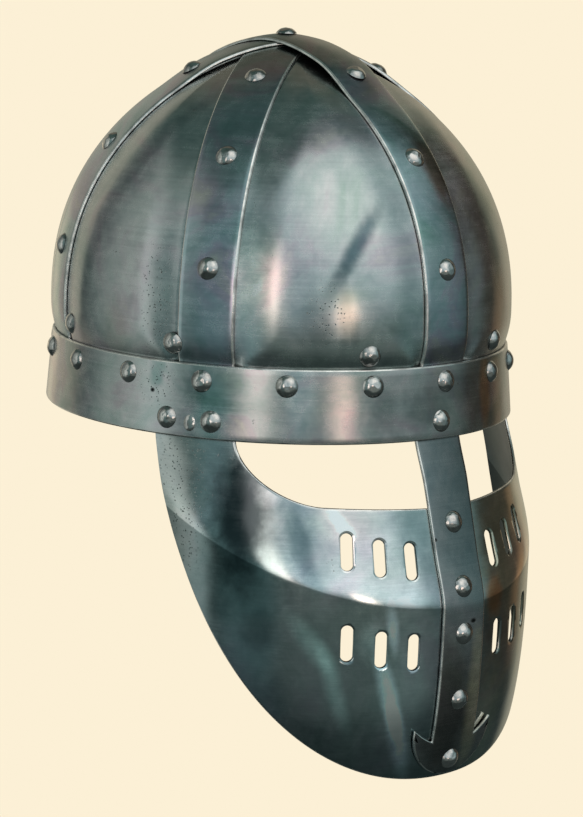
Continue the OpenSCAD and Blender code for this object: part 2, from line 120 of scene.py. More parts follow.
@dataclass(frozen=True)
class HelmetForm:
    """Driving sizes that the sheets share, and the curves that they follow."""

    brow_length: float
    brow_width: float
    brow_h: float
    brow_lean: float = 2.9 * MM
    brow_t: float = 1.6 * MM
    dome_h: float = 171 * MM
    bulge_z: float = 47.5 * MM
    bulge_inset: float = 2 * MM
    crown_fullness: float = 1.62
    shoulder_fullness: float = 2.23
    plate_t: float = 1.2 * MM
    plate_lap: float = 8 * MM
    plate_tip_r: float = 20 * MM
    tuck_depth: float = 14 * MM
    strap_w: float = 27 * MM
    strap_t: float = 1.5 * MM
    lay_gap: float = 0.1 * MM
    step_angles: tuple[float, float] = (52, 66)
    strap_bearings: tuple[float, ...] = (-2, 57.5, 116.5, 178, 237.5, 296.5, 358)
    strap_levels: tuple[int, int, int] = (2, 0, 1)
    swell_ramps: tuple[float, float] = (5 * MM, 20 * MM)
    swell_share: float = 1.15
    lap_ramp: float = 4.5 * MM
    peen_h: float = 1.2 * MM
    liner_t: float = 2 * MM
    liner_slack: float = 0.6 * MM

    @classmethod
    def from_frame(cls) -> "HelmetForm":
        """Returns the form with the brow band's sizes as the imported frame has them."""
        low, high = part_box("brow_band")
        return cls(brow_length=high.y - low.y, brow_width=high.x - low.x, brow_h=high.z - low.z)

    @property
    def half_l(self) -> float:
        """Half of the brow band's length."""
        return self.brow_length / 2

    @property
    def oval(self) -> float:
        """Width of the oval for each unit of its length."""
        return self.brow_width / self.brow_length

    @property
    def dome_r(self) -> float:
        """Radius of the dome at its widest level."""
        return self.half_l - self.bulge_inset

    @property
    def strap_pitch(self) -> float:
        """Height from strap to strap where they cross."""
        return self.strap_t + self.lay_gap

    @property
    def outer_plate_depth(self) -> float:
        """Depth of the outer plates below the straps' outer face."""
        return self.strap_pitch

    @property
    def inner_plate_depth(self) -> float:
        """Depth of the inner plates below the straps' outer face."""
        return self.outer_plate_depth + self.plate_t + self.lay_gap

    @property
    def stack_depth(self) -> float:
        """Depth of the inner plates' inside below the straps' outer face."""
        return self.inner_plate_depth + self.plate_t

    @property
    def liner_depth(self) -> float:
        """Depth of the leather below the straps' outer face."""
        return self.stack_depth + self.peen_h + self.liner_slack

    @property
    def crown_rise(self) -> float:
        """Height from the dome's widest level to its top."""
        return self.dome_h - self.bulge_z

    @property
    def shoulder_h(self) -> float:
        """Height from the brow band to the dome's widest level."""
        return self.bulge_z - self.brow_h

    @property
    def shoulder_in(self) -> float:
        """How much narrower the dome is at the brow band than at its widest level."""
        return self.dome_r - (self.brow_inner(self.brow_h) - self.lay_gap)

    @property
    def plates_low(self) -> float:
        """Height of the plates' and straps' lower ends, behind the band."""
        return self.brow_h - self.tuck_depth

    def brow_outer(self, z: float) -> float:
        """Returns the brow band's outer radius at a height."""
        return self.half_l - self.brow_lean * z / self.brow_h

    def brow_inner(self, z: float) -> float:
        """Returns the brow band's inner radius at a height."""
        return self.brow_outer(z) - self.brow_t

    def profile(self, turn: float) -> tuple[float, float]:
        """Finds a point of the dome's outline above its widest level.

        Args:
            turn: Angle on the outline in degrees, 0 at the widest level and 90 at the crown.

        Returns:
            The point's radius and height.
        """
        a = math.radians(turn)
        across, up = max(math.cos(a), 0.0), max(math.sin(a), 0.0)
        return (self.dome_r * across ** (2 / self.crown_fullness),
                self.bulge_z + self.crown_rise * up ** (2 / self.shoulder_fullness))

    def profile_normal(self, turn: float) -> tuple[float, float]:
        """Finds the outward direction of the dome's outline above its widest level.

        Args:
            turn: Angle on the outline in degrees.

        Returns:
            The direction's parts outwards and upwards.
        """
        if turn <= 0:
            return 1.0, 0.0
        if turn >= 90:
            return 0.0, 1.0
        a = math.radians(turn)
        rise = self.crown_rise * 2 / self.shoulder_fullness
        run = self.dome_r * 2 / self.crown_fullness
        return unit2(rise * math.sin(a) ** (2 / self.shoulder_fullness - 1) * math.cos(a),
                     run * math.cos(a) ** (2 / self.crown_fullness - 1) * math.sin(a))

    def profile_turn(self, z: float) -> float:
        """Returns the angle on the dome's outline for a height above its widest level."""
        share = (z - self.bulge_z) / self.crown_rise
        return math.degrees(math.asin(share ** (self.shoulder_fullness / 2)))

    def draw_in(self, z: float) -> float:
        """Returns the dome's radius between the brow band and its widest level."""
        return self.dome_r - self.shoulder_in * ((self.bulge_z - z) / self.shoulder_h) ** 2

    def draw_in_slope(self, z: float) -> float:
        """Returns how fast the dome's radius grows with height, below its widest level."""
        return 2 * self.shoulder_in * (self.bulge_z - z) / self.shoulder_h ** 2

    def step_rise(self, turn: float) -> float:
        """Returns the share of a strap's step that it has climbed at an angle on the outline."""
        low, high = self.step_angles
        return smooth((turn - low) / (high - low))

    def strap_rise(self, half: int) -> float:
        """Returns how high a half strap climbs at the crown."""
        return self.strap_levels[half % 3] * self.strap_pitch

    def oval_angle(self, bearing: float) -> float:
        """Finds the oval's own angle for a bearing.

        Args:
            bearing: The bearing in degrees.

        Returns:
            The angle in degrees, on the same turn as the bearing.
        """
        a = math.radians(bearing)
        turn = math.degrees(math.atan2(math.sin(a) / self.oval, math.cos(a)))
        return turn + 360 * round((bearing - turn) / 360)

    def oval_point(self, angle: float, radius: float, z: float) -> Vector:
        """Returns the point at an oval angle, a radius and a height."""
        a = math.radians(angle)
        return Vector((-self.oval * radius * math.sin(a), -radius * math.cos(a), z))

    def oval_normal(self, angle: float, normal: tuple[float, float]) -> Vector:
        """Returns the outward direction at an oval angle for a normal of the outline."""
        a = math.radians(angle)
        outward, upward = normal
        return Vector((-outward * math.sin(a) / self.oval, -outward * math.cos(a), upward)).normalized()

    def swell(self, place: Vector, depth: float) -> float:
        """Finds how far a dome plate bulges out between its two straps, and rises to meet their undersides.

        Args:
            place: A point of the plate before it bulges.
            depth: Depth of its layer below the straps' outer face.

        Returns:
            The distance.
        """
        bearings = [math.radians(b) for b in self.strap_bearings[:3]]
        beside = min(abs(place.x * math.cos(b) - place.y * math.sin(b)) for b in bearings) - self.strap_w / 2
        above = smooth((place.z - self.brow_h) / self.shoulder_h)
        lap_rise = max(0.0, depth - self.outer_plate_depth) * smooth(1 + beside / self.lap_ramp)
        swollen = min(depth, self.outer_plate_depth) * smooth(beside / mix(*self.swell_ramps, above))
        return lap_rise + swollen * mix(1, self.swell_share, above)

    def dome_line(self, depth: float, rise: float = 0.0, shoulder_steps: int = 7,
                  crown_steps: int = 60, tip_r: float = 0.0) -> list[tuple[float, float]]:
        """Traces the outline of one layer of the dome.

        Args:
            depth: Depth of the layer below the straps' outer face.
            rise: How far the layer climbs over its step near the crown.
            shoulder_steps: Number of steps between the brow band and the widest level.
            crown_steps: Number of steps from the widest level to the crown.
            tip_r: Radius at which the outline ends, 0 for the crown itself.

        Returns:
            Points as radius and height, from the end behind the band upwards.
        """
        points = [(self.brow_inner(self.plates_low) - self.lay_gap - depth, self.plates_low)]
        for i in range(shoulder_steps):
            z = mix(self.brow_h, self.bulge_z, i / shoulder_steps)
            points.append((self.draw_in(z) - depth, z))
        for i in range(crown_steps + 1):
            turn = 90 * i / crown_steps
            (r, z), (nr, nz) = self.profile(turn), self.profile_normal(turn)
            off = rise * self.step_rise(turn) - depth
            points.append((r + off * nr, z + off * nz))
            if points[-1][0] < tip_r:
                break
        return points


class Bench:
    """The work bench: adds meshes, selects by place, and finishes pieces."""

    heart = Vector((0, 0, 40 * MM))
    merge_gap = 0.01 * MM
    round_facets = 2
    rim_facets = 3
    inner_round = 0.4

    @staticmethod
    def put_away() -> None:
        """Deselects every object."""
        for other in bpy.context.selected_objects:
            other.select_set(False)

    @classmethod
    def take(cls, obj: Piece) -> None:
        """Selects one object alone and makes it active.

        Args:
            obj: The object.
        """
        cls.put_away()
        bpy.context.view_layer.objects.active = obj
        obj.select_set(True)

    @classmethod
    def settle(cls, obj: Piece) -> None:
        """Moves an object's place, turn and scale into its mesh."""
        cls.take(obj)
        bpy.ops.object.transform_apply(location=True, rotation=True, scale=True)

    @classmethod
    @contextmanager
    def editing(cls, obj: Piece) -> Iterator[None]:
        """Holds an object in edit mode for the length of a with block, its whole mesh selected at first.

        Args:
            obj: The object to edit.

        Yields:
            Nothing, once the object is open.
        """
        cls.take(obj)
        bpy.ops.object.mode_set(mode="EDIT")
        bpy.ops.mesh.select_all(action="SELECT")
        try:
            yield
        finally:
            bpy.ops.object.mode_set(mode="OBJECT")

    @staticmethod
    def pick_faces(obj: Piece, test: Callable[[bmesh.types.BMFace], bool]) -> int:
        """Selects the faces that pass a test, in edit mode.

        Args:
            obj: The object in edit mode.
            test: Says for a face whether it is wanted.

        Returns:
            The number of faces selected.
        """
        bpy.ops.mesh.select_all(action="DESELECT")
        bpy.ops.mesh.select_mode(type="FACE")
        shape = bmesh.from_edit_mesh(obj.data)
        count = 0
        for face in shape.faces:
            if test(face):
                face.select_set(True)
                count += 1
        bmesh.update_edit_mesh(obj.data)
        return count

    @staticmethod
    def pick_points(obj: Piece, test: Callable[[Vector], bool]) -> None:
        """Selects the vertices whose place passes a test, with the edges and faces between them.

        Args:
            obj: The object in edit mode.
            test: Says for a place whether its vertex is wanted.
        """
        bpy.ops.mesh.select_all(action="DESELECT")
        bpy.ops.mesh.select_mode(type="VERT")
        shape = bmesh.from_edit_mesh(obj.data)
        for vertex in shape.verts:
            if test(vertex.co):
                vertex.select_set(True)
        shape.select_flush(True)
        bmesh.update_edit_mesh(obj.data)

    @classmethod
    def grid(cls, name: str, columns: int, rows: int, place: Place) -> Piece:
        """Lays a grid primitive over a surface.

        Args:
            name: Name of the new object.
            columns: Number of cells across.
            rows: Number of cells along.
            place: Gives the point for a share across and a share along, each from 0 to 1.

        Returns:
            The new open sheet, with its faces turned outwards.
        """
        cls.put_away()
        bpy.ops.mesh.primitive_grid_add(x_subdivisions=columns, y_subdivisions=rows, size=1)
        obj = bpy.context.object
        obj.name = name
        for vertex in obj.data.vertices:
            vertex.co = place(vertex.co.x + 0.5, vertex.co.y + 0.5)
        cls.face_outwards(obj)
        return obj

    @classmethod
    def trace(cls, name: str, points: Sequence[Vector]) -> Piece:
        """Traces an open line by extruding one vertex from point to point.

        Args:
            name: Name of the new object.
            points: The line's points in order.

        Returns:
            The new object, which holds edges alone.
        """
        cls.put_away()
        bpy.ops.mesh.primitive_plane_add(size=MM, location=points[0])
        obj = bpy.context.object
        obj.name = name
        cls.settle(obj)
        with cls.editing(obj):
            bpy.ops.mesh.merge(type="CENTER")
            for here, there in zip(points, points[1:]):
                bpy.ops.mesh.extrude_region_move(TRANSFORM_OT_translate={"value": there - here})
        return obj

    @classmethod
    def face_outwards(cls, obj: Piece) -> None:
        """Turns an open sheet's faces away from the middle of the helmet.

        Args:
            obj: The sheet.
        """
        outward = sum(face.area * face.normal.dot(face.center - cls.heart) for face in obj.data.polygons)
        if outward < 0:
            with cls.editing(obj):
                bpy.ops.mesh.flip_normals()

    @classmethod
    def spin(cls, obj: Piece, angle: float, steps: int, ratio: float) -> None:
        """Spins a traced line round the helmet's axis and draws it out to the oval.

        Args:
            obj: The traced line.
            angle: Angle in degrees, positive from the front towards the wearer's right.
            steps: Number of steps.
            ratio: Width of the oval for each unit of its length.
        """
        with cls.editing(obj):
            bpy.ops.mesh.spin(steps=steps, angle=math.radians(angle), center=(0, 0, 0), axis=(0, 0, 1))
            bpy.ops.mesh.select_all(action="SELECT")
            bpy.ops.mesh.remove_doubles(threshold=cls.merge_gap)
            bpy.ops.mesh.select_all(action="SELECT")
            bpy.ops.transform.resize(value=(ratio, 1, 1), center_override=(0, 0, 0))
        cls.face_outwards(obj)

    @classmethod
    def cut(cls, obj: Piece, point: Vector, normal: Vector) -> None:
        """Cuts away what lies on a plane's far side, over the whole mesh.

        Args:
            obj: The object to cut.
            point: A point of the plane.
            normal: Direction of the side that goes.
        """
        with cls.editing(obj):
            bpy.ops.mesh.bisect(plane_co=point, plane_no=normal, clear_outer=True)

    @classmethod
    def apply(cls, obj: Piece, kind: str, **settings: object) -> None:
        """Adds a modifier with its settings and applies it.

        Args:
            obj: The object that takes the modifier.
            kind: The modifier's type.
            settings: Its settings by name.
        """
        cls.take(obj)
        modifier = obj.modifiers.new(kind.lower(), kind)
        for name, value in settings.items():
            setattr(modifier, name, value)
        bpy.ops.object.modifier_apply(modifier=modifier.name)

    @staticmethod
    def keep_slots(obj: Piece, count: int) -> None:
        """Gives a mesh empty material slots, as a modifier sets no material index without them."""
        while len(obj.data.materials) < count:
            obj.data.materials.append(None)

    @classmethod
    def thicken(cls, obj: Piece, thickness: float, rim: Skin = Skin.FACE) -> None:
        """Gives a sheet its wall, inwards from its outer face.

        Args:
            obj: The open sheet.
            thickness: Thickness of the wall.
            rim: Skin of the wall's own edge.
        """
        cls.keep_slots(obj, rim + 1)
        cls.apply(obj, "SOLIDIFY", thickness=thickness, offset=-1, use_even_offset=True,
                  use_quality_normals=True, material_offset_rim=rim)

    @classmethod
    def round_edges(cls, obj: Piece, width: float, sharp: float = 45, material: int = -1) -> None:
        """Rounds the sharp edges of a piece.

        Args:
            obj: The closed piece.
            width: Width of the rounding.
            sharp: Least angle in degrees between the faces at an edge that is rounded.
            material: Material index of the rounding, -1 for that of its neighbours.
        """
        cls.keep_slots(obj, material + 1)
        cls.apply(obj, "BEVEL", width=width, segments=cls.round_facets, limit_method="ANGLE",
                  angle_limit=math.radians(sharp), use_clamp_overlap=False, material=material)

    @classmethod
    def round_rims(cls, obj: Piece, width: float) -> None:
        """Rounds the edges between a sheet and its rim, the outer ones wider than the inner ones.

        Args:
            obj: The thickened sheet, whose rim has a material index of its own.
            width: Width of the rounding on the outer edges.
        """
        shape = bmesh.new()
        shape.from_mesh(obj.data)
        weights = shape.edges.layers.float.new("bevel_weight_edge")
        for edge in shape.edges:
            kinds = sorted(edge.link_faces, key=lambda face: face.material_index)
            if (kinds[0].material_index, kinds[-1].material_index) == (Skin.FACE, Skin.RIM):
                outward = kinds[0].normal.dot(kinds[0].calc_center_median() - cls.heart)
                edge[weights] = 1.0 if outward > 0 else cls.inner_round
        shape.to_mesh(obj.data)
        shape.free()
        cls.apply(obj, "BEVEL", width=width, segments=cls.rim_facets, limit_method="WEIGHT",
                  use_clamp_overlap=False, material=Skin.RIM)

    @classmethod
    def join(cls, parts: Sequence[Piece], name: str) -> Piece:
        """Joins objects into one and returns it under a new name.

        Args:
            parts: The objects, of which the first keeps its mesh's place.
            name: Name of the joined object.

        Returns:
            The joined object.
        """
        cls.take(parts[0])
        for part in parts[1:]:
            part.select_set(True)
        if len(parts) > 1:
            bpy.ops.object.join()
        parts[0].name = name
        return parts[0]

    @classmethod
    def finish(cls, obj: Piece, finishes: Sequence[Material], slot: Slot,
               nodes: Sequence[str], sharp: float = 35) -> Piece:
        """Dresses a finished piece and sets it in the frame in place of its CAD nodes.

        Args:
            obj: The piece, with its place in its mesh.
            finishes: Materials in the order of the mesh's indices.
            slot: Not used.
            nodes: Names of the CAD nodes that it stands for.
            sharp: Angle in degrees past which an edge stays sharp in shading.

        Returns:
            The piece.
        """
        cls.settle(obj)
        bpy.ops.object.shade_smooth_by_angle(angle=math.radians(sharp))
        cls.keep_slots(obj, len(finishes))
        for index, finish in enumerate(finishes):
            obj.data.materials[index] = finish
        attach(obj, "root")
        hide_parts(*nodes)
        log.info("%s: %d faces, stands for %s", obj.name, len(obj.data.polygons), ", ".join(nodes))
        return obj


class Graph:
    """Nodes of a material or of the world, added and linked in code."""

    blend_inputs = {"share": 0, "lower": 6, "upper": 7}
    blend_output = 2

    def __init__(self, tree: bpy.types.NodeTree) -> None:
        """Empties a node tree and takes it over.

        Args:
            tree: The tree to fill.
        """
        self.tree = tree
        tree.nodes.clear()

    @classmethod
    def of_material(cls, name: str) -> tuple[Material, "Graph"]:
        """Adds a material with an empty graph.

        Args:
            name: The material's name.

        Returns:
            The material and its graph.
        """
        material = bpy.data.materials.new(name)
        material.use_nodes = True
        return material, cls(material.node_tree)

    def add(self, kind: str, **settings: object) -> bpy.types.Node:
        """Adds a node, sets its properties by name and returns it.

        Args:
            kind: The node's type.
            settings: Its properties.

        Returns:
            The new node.
        """
        node = self.tree.nodes.new(kind)
        for name, value in settings.items():
            setattr(node, name, value)
        return node

    def feed(self, socket: Socket, value: object) -> None:
        """Links a socket to an output, or sets its value.

        Args:
            socket: The input socket.
            value: An output socket, a number or a colour.
        """
        if isinstance(value, Socket):
            self.tree.links.new(value, socket)
        elif isinstance(value, tuple) and socket.type == "RGBA":
            socket.default_value = (*value[:3], 1.0)
        else:
            socket.default_value = value

    def math(self, operation: str, a: object, b: object = 0.0, c: object = 0.0) -> Socket:
        """Works out one step of arithmetic.

        Args:
            operation: The node's operation.
            a: First value.
            b: Second value.
            c: Third value, which few operations read.

        Returns:
            The result.
        """
        node = self.add("ShaderNodeMath", operation=operation)
        for socket, value in zip(node.inputs, (a, b, c)):
            self.feed(socket, value)
        return node.outputs[0]

    def dot(self, vector: Socket, direction: object) -> Socket:
        """Builds the dot product of two vectors.

        Args:
            vector: A vector socket.
            direction: A fixed direction, or a socket too.

        Returns:
            The product.
        """
        node = self.add("ShaderNodeVectorMath", operation="DOT_PRODUCT")
        self.feed(node.inputs[0], vector)
        self.feed(node.inputs[1], direction)
        return node.outputs["Value"]

    def length(self, vector: Socket) -> Socket:
        """Builds the length of a vector.

        Args:
            vector: A vector socket.

        Returns:
            The length.
        """
        node = self.add("ShaderNodeVectorMath", operation="LENGTH")
        self.feed(node.inputs[0], vector)
        return node.outputs["Value"]

    def span(self, value: object, start: float, end: float, full: float = 1.0) -> Socket:
        """Builds a soft rise from 0.

        Args:
            value: The value to map.
            start: Value at which the rise starts.
            end: Value at which it ends.
            full: Result at the end.

        Returns:
            The risen value.
        """
        node = self.add("ShaderNodeMapRange", interpolation_type="SMOOTHSTEP")
        for name, item in (("Value", value), ("From Min", start), ("From Max", end), ("To Max", full)):
            self.feed(node.inputs[name], item)
        return node.outputs["Result"]

    def blend(self, share: object, a: object, b: object, kind: str = "MIX") -> Socket:
        """Lays one colour over another.

        Args:
            share: How much of the upper colour shows.
            a: The lower colour.
            b: The upper colour.
            kind: How they mix.

        Returns:
            The mixed colour.
        """
        node = self.add("ShaderNodeMix", data_type="RGBA", blend_type=kind)
        for index, value in zip(self.blend_inputs.values(), (share, a, b)):
            self.feed(node.inputs[index], value)
        return node.outputs[self.blend_output]

    def stretch(self, vector: Socket, scale: Colour) -> Socket:
        """Scales a vector axis by axis.

        Args:
            vector: The vector.
            scale: Its factors.

        Returns:
            The scaled vector.
        """
        node = self.add("ShaderNodeMapping")
        self.feed(node.inputs["Vector"], vector)
        node.inputs["Scale"].default_value = scale
        return node.outputs["Vector"]

    def noise(self, vector: Socket, scale: float, detail: float = 3.0, roughness: float = 0.55,
              distortion: float = 0.0) -> Socket:
        """Returns a noise texture's value.

        Args:
            vector: Coordinates in metres.
            scale: Blotches for each metre.
            detail: Number of finer layers.
            roughness: Weight of the finer layers.
            distortion: How far the blotches are pulled about.

        Returns:
            Values round 0.5.
        """
        node = self.add("ShaderNodeTexNoise")
        for name, value in (("Vector", vector), ("Scale", scale), ("Detail", detail),
                            ("Roughness", roughness), ("Distortion", distortion)):
            self.feed(node.inputs[name], value)
        return node.outputs[0]

    def cells(self, vector: Socket, scale: float, feature: str = "F1") -> bpy.types.Node:
        """Adds a texture of small cells.

        Args:
            vector: Coordinates in metres.
            scale: Cells for each metre.
            feature: What is measured in a cell.

        Returns:
            The node.
        """
        node = self.add("ShaderNodeTexVoronoi", feature=feature)
        self.feed(node.inputs["Vector"], vector)
        node.inputs["Scale"].default_value = scale
        return node

    def corners(self, reach: float, start: float, end: float, samples: int) -> Socket:
        """Builds how deep a place lies in a corner.

        Args:
            reach: How far off a neighbouring face still makes a corner, in metres.
            start: Open share at which the corner starts.
            end: Open share at which it is full.
            samples: Number of rays.

        Returns:
            The depth, from 0 to 1.
        """
        node = self.add("ShaderNodeAmbientOcclusion", samples=samples)
        node.inputs["Distance"].default_value = reach
        return self.span(node.outputs["AO"], start, end)

    def ramp(self, value: Socket, stops: Stops) -> Socket:
        """Builds the colour of a ramp.

        Args:
            value: Place on the ramp, from 0 to 1.
            stops: Places and their colours in order.

        Returns:
            The colour.
        """
        node = self.add("ShaderNodeValToRGB")
        elements = node.color_ramp.elements
        for index, (at, colour) in enumerate(stops):
            element = elements[index] if index < 2 else elements.new(at)
            element.position = at
            element.color = (*colour, 1.0)
        self.feed(node.inputs[0], value)
        return node.outputs[0]

    def bump(self, height: object, strength: float, distance: float, under: Socket | None = None) -> Socket:
        """Returns a normal with a height laid over another normal.

        Args:
            height: Height of the relief, from 0 to 1.
            strength: Share of the relief that shows.
            distance: Height in metres for a value of 1.
            under: Normal of a coarser relief below.

        Returns:
            The normal.
        """
        node = self.add("ShaderNodeBump")
        node.inputs["Strength"].default_value = strength
        node.inputs["Distance"].default_value = distance
        self.feed(node.inputs["Height"], height)
        if under is not None:
            self.feed(node.inputs["Normal"], under)
        return node.outputs[0]

    def end(self, shader: bpy.types.Node, kind: str = "ShaderNodeOutputMaterial") -> None:
        """Leads a shader to the output.

        Args:
            shader: The shader's node.
            kind: The output node's type.
        """
        self.feed(self.add(kind).inputs["Surface"], shader.outputs[0])

    def coat(self, colour: object, roughness: object, normal: object, metallic: float = 1.0) -> None:
        """Ends a material in a shader.

        Args:
            colour: Its colour.
            roughness: Its roughness.
            normal: Its relief.
            metallic: 1 for metal.
        """
        shader = self.add("ShaderNodeBsdfPrincipled")
        for name, value in (("Base Color", colour), ("Roughness", roughness), ("Normal", normal),
                            ("Metallic", metallic)):
            self.feed(shader.inputs[name], value)
        self.end(shader)


@dataclass(frozen=True)
class Mark:
    """A smear, a stain, a bed of pits, or a painted highlight or shade on a sheet, with its place and half
    sizes in millimetres.

    Its strength is how much of it shows, and its tint is what it multiplies the colour by.
    """

    middle: Colour
    half_sizes: Colour
    strength: float = 1.0
    tint: Colour = (1, 1, 1)
    ragged: float = 0.7
    softness: float = 0.5
    turn: Colour = (0, 0, 0)
    edge_scale: float = 160

    @classmethod
    def between(cls, start: Colour, end: Colour, half_width: float, **settings: object) -> "Mark":
        """Lays a long mark from one point to another.

        Args:
            start: Where it starts.
            end: Where it ends.
            half_width: Half of its width.
            settings: The mark's other fields by name.

        Returns:
            The mark.
        """
        run = Vector(end) - Vector(start)
        turn = run.to_track_quat("X", "Z").to_euler()
        middle = (Vector(start) + Vector(end)) / 2
        return cls(tuple(middle), (run.length / 2 + half_width, half_width, half_width),
                   turn=tuple(math.degrees(a) for a in turn), **settings)

    @classmethod
    def streak(cls, start: Colour, end: Colour, half_width: float, tint: Colour,
               strength: float = 1.0) -> "Mark":
        """Lays a smooth streak of light from one point to another.

        Args:
            start: Where it starts.
            end: Where it ends.
            half_width: Half of its width.
            tint: What it multiplies the colour by.
            strength: How much of it shows.

        Returns:
            The mark.
        """
        return cls.between(start, end, half_width, tint=tint, strength=strength, ragged=0.3, softness=0.9)

    def mask(self, graph: Graph, coords: Socket) -> Socket:
        """Builds a soft mask that is 1 inside the mark.

        Args:
            graph: Graph of the material.
            coords: Object coordinates.

        Returns:
            The mask, times the mark's strength.
        """
        local = graph.add("ShaderNodeMapping", vector_type="TEXTURE")
        graph.feed(local.inputs["Vector"], coords)
        local.inputs["Location"].default_value = [c * MM for c in self.middle]
        local.inputs["Rotation"].default_value = [math.radians(a) for a in self.turn]
        local.inputs["Scale"].default_value = [c * MM for c in self.half_sizes]
        edge = graph.noise(coords, self.edge_scale, 4)
        wander = graph.math("MULTIPLY_ADD", edge, self.ragged, -self.ragged / 2)
        away = graph.math("ADD", graph.length(local.outputs["Vector"]), wander)
        return graph.span(away, 1 + self.softness, 1 - self.softness, self.strength)


@dataclass(frozen=True)
class Crease:
    """The face plate's ridge as its finish sees it: its drop, its climb and the oval's ratio."""

    drop: float
    climb: float
    oval: float

    def above(self, g: Graph, coords: Socket) -> Socket:
        """Builds the height above the ridge.

        Args:
            g: Graph of the material.
            coords: Object coordinates.

        Returns:
            The height in millimetres.
        """
        side, ahead = g.dot(coords, Vector((1 / self.oval, 0, 0))), g.dot(coords, Vector((0, -1, 0)))
        reach = g.math("SQRT", g.math("MULTIPLY_ADD", side, side, g.math("MULTIPLY", ahead, ahead)))
        ridge = g.math("MULTIPLY_ADD", g.math("DIVIDE", ahead, reach), -self.climb, self.climb - self.drop)
        return g.math("DIVIDE", g.math("SUBTRACT", g.dot(coords, Vector((0, 0, 1))), ridge), MM)


